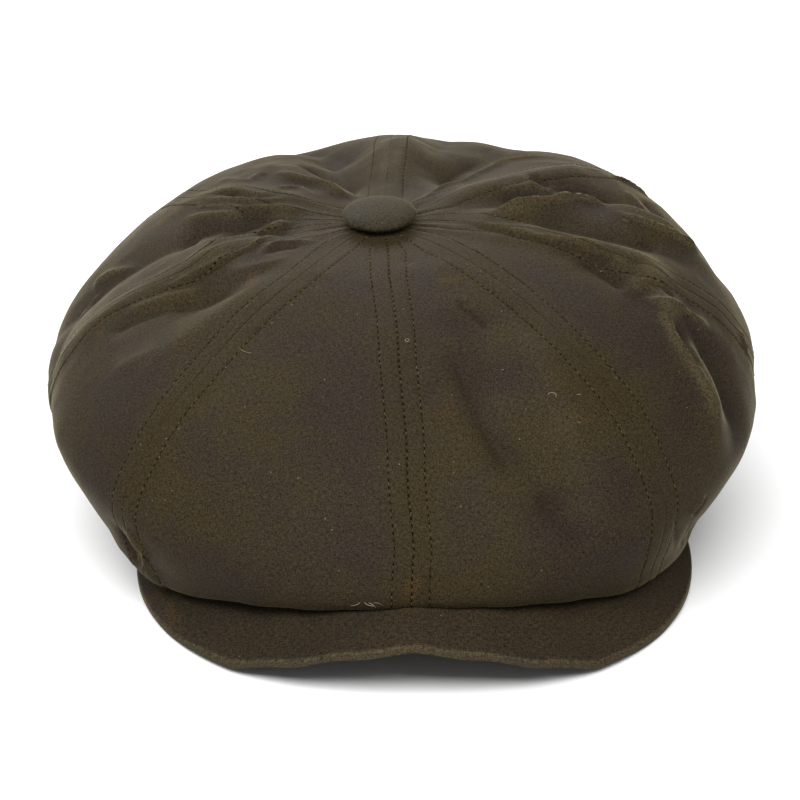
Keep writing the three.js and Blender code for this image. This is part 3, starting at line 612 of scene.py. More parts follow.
def cloth_lift(panel, u, row):
    """Folds and wrinkles, and the seam's relief, as two heights over the plain form."""
    angle = seam_azimuth(panel, row) * (1 - u) + seam_azimuth(panel + 1, row) * u
    base = plain_point(angle, row)
    width = panel_width(panel, row)
    to_seam = np.minimum(u, 1 - u) * width / narrowing(width)
    folds = sum(line_lift(base, *line) for line in lines)
    small = wrinkles(angle, row, base, to_seam)
    standing = smooth(row, *FLAT_FROM)
    soft = (folds * smooth(row, *FOLDS_FROM) + small * smooth(row, *WRINKLES_FROM)) * (1 - standing)
    relief = seam_relief(to_seam) * (1 - (1 - STAND_RELIEF) * standing)
    return angle, base, soft, relief, to_seam


def cloth_faces(panel, u, row):
    """Outer and inner face of the cloth, the raised part of its lift, and the distance to a seam. The
    inner face lies a wall below the outer one and has no relief."""
    u, row = np.broadcast_arrays(np.asarray(u, float), np.asarray(row, float))
    angle, base, soft, relief, to_seam = cloth_lift(panel, u, row)
    normal = plain_normal(angle, row)
    outer = keep_clear(base + normal * (soft + relief)[..., None], row, 0.0)
    inner = keep_clear(base + normal * (soft - CROWN_WALL)[..., None], row, CROWN_WALL)
    return outer, inner, soft, to_seam


def cloth_point(panel, u, row):
    """Outer face of the cloth."""
    return cloth_faces(panel, u, row)[0]


print("a point of the front panel", cloth_point(0, 0.5, 3.0).round(1))

# %% [markdown]
# ## Meshes from grids
#
# Every piece below is a grid of points. Two grids, an outer and an inner face, joined round their edges
# make a closed shell. Grid lines are set closer together along the seams, where the relief is narrow.

# %% Grids to closed shells
SHARP_ANGLE = math.radians(50)


def patch(a, b, c, d):
    """Four arrays of corners, as rows of four."""
    return np.stack([a, b, c, d], -1).reshape(-1, 4)


def closed_shell(outside, inside):
    """Points and faces of a shell between two grids. Seen from outside, rows run down, columns right."""
    columns, rows = outside.shape[:2]
    outer = np.arange(columns * rows).reshape(columns, rows)
    inner = outer + columns * rows
    faces = [
        patch(outer[:-1, :-1], outer[:-1, 1:], outer[1:, 1:], outer[1:, :-1]),
        patch(inner[:-1, :-1], inner[1:, :-1], inner[1:, 1:], inner[:-1, 1:]),
        patch(outer[:-1, 0], outer[1:, 0], inner[1:, 0], inner[:-1, 0]),
        patch(outer[1:, -1], outer[:-1, -1], inner[:-1, -1], inner[1:, -1]),
        patch(outer[0, 1:], outer[0, :-1], inner[0, :-1], inner[0, 1:]),
        patch(inner[-1, :-1], outer[-1, :-1], outer[-1, 1:], inner[-1, 1:]),
    ]
    points = np.concatenate([outside.reshape(-1, 3), inside.reshape(-1, 3)])
    return points, np.concatenate(faces)


def make_piece(name, points, faces, material, slot, nodes=(), uv=None, **values):
    """A smooth mesh in the frame, riding on the cap. uv and values are given point by point."""
    mesh = bpy.data.meshes.new(name)
    mesh.from_pydata(to_frame(points).tolist(), [], faces.tolist())
    corners = np.empty(len(mesh.loops), np.int32)
    mesh.loops.foreach_get("vertex_index", corners)
    if uv is not None:
        layer = mesh.uv_layers.new(name="cloth_mm")
        layer.uv.foreach_set("vector", uv[corners].astype(np.float32).ravel())
    for key, numbers in values.items():
        attribute = mesh.attributes.new(key, "FLOAT", "POINT")
        attribute.data.foreach_set("value", numbers.astype(np.float32))
    mesh.polygons.foreach_set("use_smooth", np.ones(len(mesh.polygons), bool))
    mesh.set_sharp_from_angle(angle=SHARP_ANGLE)
    mesh.materials.append(material)
    piece = bpy.data.objects.new(name, mesh)
    bpy.context.scene.collection.objects.link(piece)
    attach(piece, "root")
    if nodes:
        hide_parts(*nodes)
    print(name, len(points), "points", len(mesh.polygons), "faces")


# %% [markdown]
# ## Waxed cotton
#
# The cloth is a plain-weave cotton soaked with wax: nearly matt, with a soft sheen where it turns away,
# colder grey-brown where the wax is even, and more olive or rusty where folding and stitching have moved
# it. Ridges are painted lighter, partly for rubbed wax and partly as a painted highlight, valleys are
# painted darker as painted shade, and small specks of lint stick to the wax. A matt surface with an olive
# sheen gives this, with noise for the wax and for the yarn's grain.

# %% Node helper and colours
def linear(code):
    """An sRGB hex code such as 403a2e as linear red, green, blue and alpha."""
    parts = [int(code[i : i + 2], 16) / 255 for i in (0, 2, 4)]
    return [c / 12.92 if c <= 0.04045 else ((c + 0.055) / 1.055) ** 2.4 for c in parts] + [1.0]


def add(tree, kind, settings=None, links=None):
    """A node of a kind. settings holds its properties and plain inputs, and stops a ramp's colours.
    links joins its inputs to other nodes' outputs."""
    made = tree.nodes.new(kind)
    for key, value in (settings or {}).items():
        if key == "stops":
            ramp = made.color_ramp.elements
            while len(ramp) < len(value):
                ramp.new(1)
            for stop, (position, code) in zip(ramp, value):
                stop.position, stop.color = position, linear(code)
        elif isinstance(key, str) and hasattr(made, key):
            setattr(made, key, value)
        else:
            made.inputs[key].default_value = value
    for key, source in (links or {}).items():
        tree.links.new(source, made.inputs[key])
    return made


def new_finish(name):
    """A material, its node tree and its surface shader."""
    material = bpy.data.materials.new(name)
    material.use_nodes = True
    return material, material.node_tree, material.node_tree.nodes["Principled BSDF"]


def set_inputs(shader, values):
    """Plain values for some of a shader's inputs."""
    for key, value in values.items():
        shader.inputs[key].default_value = value


def noise(tree, place, scale, detail, **more):
    """Soft random values from 0 to 1 over a place."""
    return add(tree, "ShaderNodeTexNoise", {"Scale": scale, "Detail": detail, **more},
               {"Vector": place}).outputs["Fac"]


def maths(tree, operation, first, second):
    """Two values joined by an operation."""
    return add(tree, "ShaderNodeMath", {"operation": operation}, {0: first, 1: second}).outputs[0]


def ramp(tree, share, *stops):
    """A colour that runs through stops, each a share and a hex code."""
    return add(tree, "ShaderNodeValToRGB", {"stops": stops}, {"Fac": share}).outputs["Color"]


# %% Waxed cotton's nodes
def between(tree, value, low, high, to_low, to_high):
    """A value stretched from one range to another."""
    return add(tree, "ShaderNodeMapRange", {"From Min": low, "From Max": high, "To Min": to_low,
               "To Max": to_high}, {"Value": value}).outputs["Result"]


def blend(tree, below, above, share):
    """One colour over another by a share. above may be a hex code or a node's output."""
    settings, links = {"data_type": "RGBA"}, {6: below, 0: share}
    if isinstance(above, str):
        settings[7] = linear(above)
    else:
        links[7] = above
    return add(tree, "ShaderNodeMix", settings, links).outputs[2]


RUSTY_WAX, PALE_LINT, OLIVE_SHEEN = "3d2c12", "5c5541", "b4a884"


def waxed_cotton(name, even, warm, stitched, wear_and_highlight, valley_shade):
    """even and warm are the wax's two shades, stitched the strips'. The fourth colour lightens the ridges,
    partly rubbed wax and partly painted highlight, and the last darkens the valleys as painted shade.
    """
    material, tree, shader = new_finish(name)
    at = add(tree, "ShaderNodeTexCoord").outputs["Object"]
    mm = add(tree, "ShaderNodeUVMap", {"uv_map": "cloth_mm"}).outputs["UV"]
    strip = add(tree, "ShaderNodeAttribute", {"attribute_name": "strip"}).outputs["Fac"]
    crest = add(tree, "ShaderNodeAttribute", {"attribute_name": "crest"}).outputs["Fac"]

    # The wax's blotches, a few centimetres wide, with a finer mottle inside them.
    clouds = noise(tree, at, 24, 6, Roughness=0.62)
    colour = ramp(tree, between(tree, clouds, 0.41, 0.6, 0, 1), (0.0, even), (1.0, warm))
    olive = maths(tree, "MULTIPLY", strip, between(tree, clouds, 0.3, 0.7, 0.45, 1.0))
    colour = blend(tree, colour, stitched, olive)
    rust = noise(tree, at, 31, 3, Distortion=1.0)
    colour = blend(tree, colour, RUSTY_WAX, between(tree, rust, 0.66, 0.8, 0, 0.8))

    # Ridges are painted lighter, partly for rubbed wax and partly as a painted highlight,
    #     # and valleys are painted darker as painted shade.
    colour = blend(tree, colour, wear_and_highlight, between(tree, crest, 0.1, 1.6, 0, 0.6))
    colour = blend(tree, colour, valley_shade, between(tree, crest, -0.1, -1.4, 0, 0.5))

    # The yarn's grain: one noise drawn out across the cloth and one down it, with a finer fuzz over
    # both. The yarns are 0.3 mm apart, nearly too fine to show, so the noise is a little coarser.
    across = add(tree, "ShaderNodeMapping", {"Scale": (0.7, 2.4, 1)}, {"Vector": mm}).outputs["Vector"]
    down = add(tree, "ShaderNodeMapping", {"Scale": (2.4, 0.7, 1)}, {"Vector": mm}).outputs["Vector"]
    yarn = maths(tree, "ADD", noise(tree, across, 1.0, 1), noise(tree, down, 1.0, 1))
    grain = maths(tree, "ADD", yarn, noise(tree, at, 2100, 1))
    shade = between(tree, grain, 1.1, 1.9, 0.34, 1.72)
    colour = add(tree, "ShaderNodeMix", {"data_type": "RGBA", "blend_type": "MULTIPLY", 0: 1.0},
                 {6: colour, 7: shade}).outputs[2]

    # Specks of lint stick to the wax, most of them beside the seams.
    specks = add(tree, "ShaderNodeTexVoronoi", {"Scale": 420, "Randomness": 1.0}, {"Vector": at})
    drawn = add(tree, "ShaderNodeSeparateColor", {}, {"Color": specks.outputs["Color"]}).outputs["Red"]
    chance = add(tree, "ShaderNodeMath", {"operation": "MULTIPLY_ADD", 1: 0.07, 2: 0.025},
                 {0: strip}).outputs[0]
    near = between(tree, specks.outputs["Distance"], 0.14, 0.07, 0, 1)
    lint = maths(tree, "MULTIPLY", near, maths(tree, "LESS_THAN", drawn, chance))
    colour = blend(tree, colour, PALE_LINT, lint)
    tree.links.new(colour, shader.inputs["Base Color"])

    # The yarns and a faint crackle of the wax stand up from the cloth.
    woven = add(tree, "ShaderNodeBump", {"Strength": 0.5, "Distance": 0.00025}, {"Height": yarn})
    crackle = noise(tree, at, 150, 4, Roughness=0.6)
    creased = add(tree, "ShaderNodeBump", {"Strength": 0.12, "Distance": 0.0006},
                  {"Height": crackle, "Normal": woven.outputs["Normal"]})
    tree.links.new(creased.outputs["Normal"], shader.inputs["Normal"])
    tree.links.new(between(tree, clouds, 0.3, 0.7, 0.6, 0.74), shader.inputs["Roughness"])
    set_inputs(shader, {"IOR": 1.45, "Specular IOR Level": 0.06, "Sheen Weight": 0.36,
                        "Sheen Roughness": 0.27, "Sheen Tint": linear(OLIVE_SHEEN)})
    return material


# The fourth colour of each is the ridges' rubbed wax and painted highlight, the fifth the valleys' painted
# shade.
crown_cotton = waxed_cotton("waxed_cotton_crown", "251f18", "2a2315", "282113", "3a3221", "1b1610")
peak_cotton = waxed_cotton("waxed_cotton_peak", "231e16", "272016", "281f0e", "4d4533", "17120b")
button_cotton = waxed_cotton("waxed_cotton_button", "28231a", "2c261b", "2c230e", "40382a", "1c160d")
print("cloth materials made")

# %% [markdown]
# ## The crown's eight panels
#
# Each panel is its own piece of cloth, as it was cut. Its outer and inner faces are two grids over the
# same shares and rows, and the edges between them are the cut edges inside the seam.

# %% Panels
SEAM_LINES_MM = np.array([0, 0.2, 0.45, 0.8, 1.3, 2.1, 3.1, 4.1, 5.0, 5.5, 5.9, 6.2, 6.5, 6.9, 7.5, 8.6])
MIDDLE_COLUMNS = 62
EDGE_GAP = 0.05
STRETCHES = [(TIP_ROW, 5, 172), (5, 7, 52), (7, 8, 12)]
CREST_BLUR, CREST_MM = 60, 0.8
STRIP_FADE = (3, 13)
panel_rows = np.unique(np.concatenate([np.linspace(a, b, n + 1) for a, b, n in STRETCHES]).round(9))


def panel_shares(panel):
    """Shares across a panel at each row: seam lines at set distances on both sides, even between."""
    width = panel_width(panel, panel_rows)
    strip = (SEAM_LINES_MM[:, None] * narrowing(width) + EDGE_GAP) / width
    middle = np.linspace(0, 1, MIDDLE_COLUMNS + 2)[1:-1, None]
    even = strip[-1] + (1 - 2 * strip[-1]) * middle
    return np.concatenate([strip, even, 1 - strip[::-1]])


def blurred(heights, times):
    """Heights of a grid smoothed by averaging with their neighbours, several times over."""
    for _ in range(times):
        padded = np.pad(heights, 1, mode="edge")
        heights = (padded[:-2, 1:-1] + padded[2:, 1:-1] + padded[1:-1, :-2] + padded[1:-1, 2:]) / 4
    return heights


def make_panel(panel):
    """One panel, with its uv in millimetres of cloth and how raised or sunk each point is."""
    before, after = SEAMS[panel][0], SEAMS[(panel + 1) % len(SEAMS)][0]
    shares = panel_shares(panel)
    rows = np.broadcast_to(panel_rows, shares.shape)
    outside, inside, soft, to_seam = cloth_faces(panel, shares, rows)
    # How far each point stands above or sinks below its smoothed neighbours: the cloth paints ridges lighter
    # with it, partly as a painted highlight, and valleys darker as painted shade.
    crest = (soft - blurred(soft, CREST_BLUR)) / CREST_MM
    strip = 1 - smooth(to_seam, *STRIP_FADE)
    down = np.linalg.norm(np.diff(outside, axis=1), axis=-1).mean(0).cumsum()
    downward = np.broadcast_to(np.r_[0, down], rows.shape)
    uv = np.stack([(shares - 0.5) * panel_width(panel, panel_rows), downward], -1)
    points, faces = closed_shell(outside, inside)
    both = [np.tile(a.reshape(-1), 2) for a in (crest, strip)]
    name = f"{before}_to_{after}"
    make_piece(f"crown_{name}", points, faces, crown_cotton, "crown_cloth", [f"panel_{name}"],
               np.tile(uv.reshape(-1, 2), (2, 1)), crest=both[0], strip=both[1])


for panel in range(len(SEAMS)):
    make_panel(panel)

# %% [markdown]
# ## Peak
#
# The peak is a board with cloth pulled over both sides and joined along its edge. It is a profile, a
# thin bar with rounded edges, carried round the front of the opening. Its face is faintly uneven where
# the cloth lies over the board, and its front edge is painted lighter, a painted highlight where it catches
# the light.

# %% Peak
PEAK_STEPS = 240
PEAK_ACROSS = 36
EDGE_STEPS = 6
EDGE_ROUND = 1.0
PEAK_UNEVEN, UNEVEN_SIZE = 0.18, 16
# The peak's front edge is painted lighter as a painted highlight: the share across where it grows, and how
# strong.
EDGE_HIGHLIGHT_SPAN, EDGE_HIGHLIGHT = (0.975, 0.998), 0.9


def peak_side(angle, share, up):
    """A face of the peak at a share across: up is 1 for its top and 0 for its underside."""
    inner, outer = peak_inner(angle), peak_outer(angle)
    height = peak_under(angle, share) + PEAK_WALL * up
    points = polar(inner + (outer - inner) * share, angle, height)
    points[..., 2] += PEAK_UNEVEN * soft_noise(points / UNEVEN_SIZE + 5, 6) * (2 * up - 1)
    return points


def make_peak():
    """Top and underside as two grids that end in quarter rounds of the same radius."""
    angle = np.radians(np.linspace(-PEAK_SPAN, PEAK_SPAN, PEAK_STEPS + 1))[:, None]
    width = peak_outer(angle) - peak_inner(angle)
    rounded = EDGE_ROUND / width
    share = np.linspace(0, 1, PEAK_ACROSS + 1)[None, :] * (1 - rounded)
    turn = np.linspace(0, math.pi / 2, EDGE_STEPS + 1)[1:]
    faces = []
    for up in (1, 0):
        flat = peak_side(angle, share, up)
        edge_share = 1 - rounded + rounded * np.sin(turn)[None, :]
        edge = peak_side(angle, edge_share, up)
        edge[..., 2] += EDGE_ROUND * (1 - np.cos(turn)) * (1 - 2 * up)
        faces.append(np.concatenate([flat, edge], 1))
    points, quads = closed_shell(*faces)
    down = np.concatenate([share * width, (1 - rounded + rounded * np.sin(turn)) * width], 1)
    around = np.broadcast_to(angle * HEAD_HALF_LENGTH, down.shape)
    uv = np.concatenate([np.stack([around, down], -1), np.stack([around, 2 * width + PEAK_WALL - down], -1)])
    # The front edge's painted highlight, carried in the crest attribute that lightens ridges.
    edge_highlight = smooth(down / width, *EDGE_HIGHLIGHT_SPAN).reshape(-1) * EDGE_HIGHLIGHT
    make_piece("peak_covered", points, quads, peak_cotton, "peak_cloth", ["peak"], uv.reshape(-1, 2),
               crest=np.tile(edge_highlight, 2), strip=np.zeros(len(points)))


make_peak()

# %% [markdown]
# ## Button
#
# The button is a shallow dome of metal with cloth stretched over it and gathered underneath, on a short
# stem that goes down between the panels' tips. It is a turned profile, tilted as the crown's top is.

# %% Button
BUTTON_RADIUS, BUTTON_DOME, BUTTON_EDGE, BUTTON_LIFT, UNDERCUT = 14, 6.2, 2.5, 0.7, 5.6
STEM_RADIUS, FOOT_RADIUS, FOOT_WALL = 2.8, 6, 1.2
BUTTON_SEGMENTS, DOME_STEPS, DOME_FROM = 120, 40, -0.85
BUTTON_SEAT, GATHERED = 0.9, 0.012


def button_profile():
    """Reach and height from the foot's middle up the stem, out under the rim and over the dome."""
    stem_foot = -(BUTTON_SEAT + BUTTON_LIFT) - (CROWN_WALL + BUTTON_LIFT)
    foot = [(0, stem_foot - FOOT_WALL), (FOOT_RADIUS - 0.4, stem_foot - FOOT_WALL),
            (FOOT_RADIUS, stem_foot - FOOT_WALL / 2), (FOOT_RADIUS - 0.4, stem_foot),
            (STEM_RADIUS + 0.3, stem_foot), (STEM_RADIUS, stem_foot + 0.3), (STEM_RADIUS, -0.3)]
    under = [(STEM_RADIUS + 0.4, 0), (BUTTON_RADIUS * 0.5, 0), (BUTTON_RADIUS - UNDERCUT, 0)]
    turn = np.linspace(DOME_FROM, 1, DOME_STEPS) * math.pi / 2
    rise = np.where(turn < 0, BUTTON_EDGE, BUTTON_DOME - BUTTON_EDGE)
    bulge = np.where(turn < 0, UNDERCUT, BUTTON_RADIUS)
    inset = np.where(turn < 0, BUTTON_RADIUS - UNDERCUT, 0)
    dome = np.stack([inset + bulge * np.cos(turn), BUTTON_EDGE + rise * np.sin(turn)], -1)
    dome[-1, 0] = 0
    return np.concatenate([np.array(foot + under, float), dome])


def make_button():
    """The profile turned round the crown's own outward direction, closed at both ends of the axis."""
    profile = button_profile()
    turn = np.linspace(0, 2 * math.pi, BUTTON_SEGMENTS, endpoint=False)
    body = profile[1:-1]
    pull = 1 + GATHERED * soft_noise(np.stack([np.cos(turn) * 4, np.sin(turn) * 4, turn * 0], -1) + 9, 7)
    reach = body[None, :, 0] * np.where(body[:, 1] > -0.1, pull[:, None], 1)
    height = np.broadcast_to(body[:, 1], reach.shape)
    ring = np.stack([reach * np.cos(turn)[:, None], reach * np.sin(turn)[:, None], height], -1)
    count = len(body)
    k = np.arange(BUTTON_SEGMENTS * count).reshape(BUTTON_SEGMENTS, count)
    after = np.roll(k, -1, 0)
    quads = patch(k[:, :-1], after[:, :-1], after[:, 1:], k[:, 1:])
    low, top = k.size, k.size + 1
    caps = [[low, b, a] for a, b in zip(k[:, 0], after[:, 0])]
    caps += [[top, a, b] for a, b in zip(k[:, -1], after[:, -1])]
    points = np.concatenate([ring.reshape(-1, 3), [[0, 0, profile[0, 1]], [0, 0, profile[-1, 1]]]])
    quarter = np.arange(4) * math.pi / 2
    normal = unit(plain_normal(quarter, np.full(4, TIP_ROW)).sum(0))
    turned = np.array(Vector((0, 0, 1)).rotation_difference(Vector(normal)).to_matrix())
    centre = plain_point(0.0, 0.0) + normal * (BUTTON_SEAT + BUTTON_LIFT)
    placed = points @ turned.T + centre
    faces = [list(f) for f in quads] + caps
    plain = np.zeros(len(points))
    make_piece("button_covered", placed, np.array(faces, dtype=object), button_cotton, "button_cloth",
               ["button"], points[:, :2], crest=plain, strip=plain)


make_button()

# %% [markdown]
# ## Headband
#
# A plain cotton strip lines the opening. It can't be seen in the photograph, so it is finished as the
# usual thing, a flat ribbed tape. A profile with rounded edges is carried once round the opening.

# %% Headband
def tape_cotton():
    """Ribbed cotton tape: dark, matt, with fine ribs up and down about a millimetre apart."""
    material, tree, shader = new_finish("ribbed_cotton_tape")
    mm = add(tree, "ShaderNodeUVMap", {"uv_map": "cloth_mm"}).outputs["UV"]
    ribs = add(tree, "ShaderNodeTexWave", {"wave_type": "BANDS", "bands_direction": "X", "Scale": 0.3,
               "Distortion": 0.3, "Detail": 1.0}, {"Vector": mm}).outputs["Fac"]
    tree.links.new(ramp(tree, ribs, (0.1, "2b261c"), (0.9, "3d3628")), shader.inputs["Base Color"])
    bump = add(tree, "ShaderNodeBump", {"Strength": 0.6, "Distance": 0.0003}, {"Height": ribs})
    tree.links.new(bump.outputs["Normal"], shader.inputs["Normal"])
    set_inputs(shader, {"Roughness": 0.85, "Sheen Weight": 0.15})
    return material


BAND_STEPS = 360


def make_band():
    """Outer and inner walls of the strip as grids, closed over at the top and bottom edges."""
    angle = np.linspace(0, 2 * math.pi, BAND_STEPS, endpoint=False)[:, None]
    half = BAND_WALL / 2
    turn = np.linspace(0, math.pi, 7)
    rises = np.linspace(half, BAND_HEIGHT - half, 15)
    side = np.concatenate([rises, BAND_HEIGHT - half + half * np.sin(turn)[1:-1], rises[::-1],
                           half - half * np.sin(turn)[1:-1]])
    out = np.concatenate([rises * 0 + BAND_WALL, half + half * np.cos(turn)[1:-1], rises * 0,
                          half - half * np.cos(turn)[1:-1]])
    points = polar(head_reach(angle) + out[None, :], angle, rim_height(angle) + side[None, :])
    k = np.arange(points.shape[0] * points.shape[1]).reshape(points.shape[:2])
    right = np.roll(k, -1, 0)
    faces = patch(k, right, np.roll(right, -1, 1), np.roll(k, -1, 1))
    uv = np.stack(np.broadcast_arrays(angle * HEAD_HALF_LENGTH, side), -1)
    make_piece("headband_tape", points.reshape(-1, 3), faces, tape_cotton(), "band_cloth", ["headband"],
               uv.reshape(-1, 2))


make_band()

# %% [markdown]
# ## Topstitches
#
# Each seam is stitched down on both sides, a little over six millimetres away, with a dull tan thread. A
# stitch shows as a short bar that dives into the cloth at both ends, and a small near-black lens between
# the bars is painted shade for each needle hole. One bar and one hole are worked out once and carried to
# every place along the rows as arrays, so a seam's stitches are one joined mesh and its holes another.

# %% Thread and stitches
STITCH_PITCH = 2.7
STITCH_LENGTH = 1.3
THREAD = 0.38
STITCH_SIDES = 6
BAR_STEPS, HOLE_SIDES, LINE_STEPS = 7, 8, 700


def mottled(name, dark, light, scale, roughness):
    """A plain finish that wanders between two shades."""
    material, tree, shader = new_finish(name)
    clouds = noise(tree, add(tree, "ShaderNodeTexCoord").outputs["Object"], scale, 2)
    tree.links.new(ramp(tree, clouds, (0.38, dark), (0.62, light)), shader.inputs["Base Color"])
    set_inputs(shader, {"Roughness": roughness, "Specular IOR Level": 0.08})
    return material


thread = mottled("waxed_sewing_thread", "241c0f", "4a3c1d", 420, 0.7)
# The needle holes' near-black finish is painted shade for the shade inside each hole.
needle_hole_shade = mottled("needle_hole_shade", "070502", "100c06", 300, 0.9)


def row_points(panel, right_side, distance, start, end):
    """Points along a row of stitches at a distance from a seam, evenly spaced by the pitch."""
    rows = np.linspace(start, end, LINE_STEPS)
    width = panel_width(panel, rows)
    share = distance * narrowing(width) / width
    share = 1 - share if right_side else share
    line = cloth_point(panel, share, rows)
    length = np.r_[0, np.linalg.norm(np.diff(line, axis=0), axis=1).cumsum()]
    marks = np.arange(STITCH_PITCH / 2, length[-1], STITCH_PITCH)
    at_row = np.interp(marks, length, rows)
    at_share = np.interp(marks, length, share)
    here = cloth_point(panel, at_share, at_row)
    along = unit(cloth_point(panel, at_share, at_row + 0.02) - cloth_point(panel, at_share, at_row - 0.02))
    aside = cloth_point(panel, at_share + 0.004, at_row) - cloth_point(panel, at_share - 0.004, at_row)
    aside = unit(aside - along * (aside * along).sum(-1, keepdims=True))
    return here, along, unit(np.cross(along, aside))


def stitch_bar():
    """One stitch along x, z up: a bowed bar, thin at its ends, which lie a little below the surface."""
    t = np.linspace(-1, 1, BAR_STEPS)
    thick = THREAD / 2 * np.sqrt(np.clip(1 - 0.75 * t**4, 0, 1))
    rise = THREAD * (0.42 - 0.85 * t**4)
    turn = np.linspace(0, 2 * math.pi, STITCH_SIDES, endpoint=False)
    ring = np.stack([
        np.broadcast_to(t[:, None] * STITCH_LENGTH / 2, (BAR_STEPS, STITCH_SIDES)),
        thick[:, None] * np.cos(turn),
        rise[:, None] + thick[:, None] * np.sin(turn),
    ], -1)
    k = np.arange(BAR_STEPS * STITCH_SIDES).reshape(BAR_STEPS, STITCH_SIDES)
    around = np.roll(k, -1, 1)
    sides = patch(k[:-1], k[1:], around[1:], around[:-1])
    middle = np.full(STITCH_SIDES, k.size)
    caps = np.concatenate([
        np.stack([k[0], around[0], middle], -1),
        np.stack([around[-1], k[-1], middle + 1], -1),
    ])
    ends = np.array([[t[0] * STITCH_LENGTH / 2, 0, rise[0]], [t[-1] * STITCH_LENGTH / 2, 0, rise[-1]]])
    return np.concatenate([ring.reshape(-1, 3), ends]), sides, caps


HOLE_LENGTH, HOLE_WIDTH, HOLE_THICK = 1.5, 0.78, 0.17


def hole_shade_lens():
    """A needle hole's painted shade: a small dark lens that lies just proud of the cloth."""
    turn = np.linspace(0, 2 * math.pi, HOLE_SIDES, endpoint=False)
    rim = np.stack([HOLE_LENGTH / 2 * np.cos(turn), HOLE_WIDTH / 2 * np.sin(turn), turn * 0], -1)
    points = np.concatenate([rim, [[0, 0, HOLE_THICK], [0, 0, -HOLE_THICK]]])
    k = np.arange(HOLE_SIDES)
    after, middle = np.roll(k, -1), np.full(HOLE_SIDES, HOLE_SIDES)
    caps = [np.stack([k, after, middle], -1), np.stack([after, k, middle + 1], -1)]
    return points, np.zeros((0, 4), int), np.concatenate(caps)


def carried(shape, here, along, up):
    """A small shape set at every place: its x along the row, its z along the cloth's outward direction."""
    points, sides, caps = shape
    axes = np.stack([along, np.cross(up, along), up], 1)
    step = (np.arange(len(here)) * len(points))[:, None, None]
    faces = (sides[None] + step).reshape(-1, 4).tolist() + (caps[None] + step).reshape(-1, 3).tolist()
    return (here[:, None] + points[None] @ axes).reshape(-1, 3), np.array(faces, dtype=object)


def make_stitches(name, rows_of_points):
    """All bars of a seam as one piece, and the needle holes between them as another."""
    here, along, up = (np.concatenate(parts) for parts in zip(*rows_of_points))
    make_piece(f"topstitches_{name}", *carried(stitch_bar(), here, along, up), thread, "crown_cloth")
    # Each hole's dark lens is painted shade.
    holes = carried(hole_shade_lens(), here + along * STITCH_PITCH / 2, along, up)
    make_piece(f"hole_shades_{name}", *holes, needle_hole_shade, "crown_cloth")


STITCH_START, STITCH_END, SEAM_ROW = 0.27, 7.9, 0.35
for seam, (name, _) in enumerate(SEAMS):
    before = (seam - 1) % len(SEAMS)
    rows_of_points = [
        row_points(seam, False, SEAM_MARGIN, STITCH_START, STITCH_END),
        row_points(before, True, SEAM_MARGIN, STITCH_START, STITCH_END),
    ]
    if name == "front":
        rows_of_points.append(row_points(seam, False, SEAM_ROW, STITCH_START, STITCH_END))
    make_stitches(name, rows_of_points)

# %% [markdown]
# ## Lint and loose thread
#
# Waxed cloth picks up fibres: a few pale curls lie on the crown, and a tuft of cut thread ends stands at
# the hem. Each is a hair-thin tube along a line that bends evenly as it runs over the cloth, and all of
# them are joined as one piece. A row gives the panel, the share across and the row where a fibre starts,
# its length in millimetres, and its heading and bend in degrees.

# %% Fibres
FIBRE = 0.2
FIBRES = [
    ("curl on the left of the front", 7, 0.083, 2.199, 6.5, 15, -40),
    ("curl on the right of the front", 0, 0.697, 2.515, 5, 300, 210),
    ("ring by the front seam", 0, 0.064, 1.773, 4.4, 0, 340),
    ("speck, front right", 0, 0.826, 2.578, 1.6, 0, 10),
    ("dot, front right", 0, 0.569, 2.152, 0.8, 30, 20),
    ("curl on the right", 2, 0.413, 1.883, 2.6, 60, 90),
    ("dot by the left seam", 4, 0.697, 1.014, 0.9, 10, 30),
    ("dot on the left ridge", 4, 0.872, 1.378, 0.9, 70, 30),
    ("thread end", 7, 0.844, 4.868, 4, 130, 50),
    ("thread end, second", 7, 0.856, 4.85, 4.5, 60, -70),
    ("thread end, third", 7, 0.87, 4.88, 4, 20, 60),
    ("thread end, fourth", 7, 0.885, 4.9, 3.5, 340, 80),
]
FIBRE_STEPS, FIBRE_SIDES = 14, 5


def fibre_tube(panel, u, row, length, heading, bend):
    """A tube round a line that starts on the cloth and turns by the bend, in degrees, along its length."""
    turn = np.radians(heading + bend * np.linspace(0, 1, FIBRE_STEPS))
    across = np.r_[0, np.cumsum(np.cos(turn[:-1]))] * length / FIBRE_STEPS
    down = np.r_[0, np.cumsum(np.sin(turn[:-1]))] * length / FIBRE_STEPS
    row_length = np.linalg.norm(plain_point(0.0, row + 0.1) - plain_point(0.0, row)) / 0.1
    shares = u + across / panel_width(panel, np.array(float(row)))
    rows = row + down / row_length
    line = cloth_point(panel, shares, rows)
    angle = seam_azimuth(panel, rows) * (1 - shares) + seam_azimuth(panel + 1, rows) * shares
    up = plain_normal(angle, rows)
    along = unit(np.gradient(line, axis=0))
    side = unit(np.cross(up, along))
    round_it = np.linspace(0, 2 * math.pi, FIBRE_SIDES, endpoint=False)[None, :, None]
    thin = FIBRE / 2 * np.sqrt(1 - 0.8 * np.linspace(-1, 1, FIBRE_STEPS) ** 6)[:, None, None]
    ring = thin * (np.cos(round_it) * side[:, None] + np.sin(round_it) * up[:, None])
    return (line + up * FIBRE * 0.6)[:, None] + ring


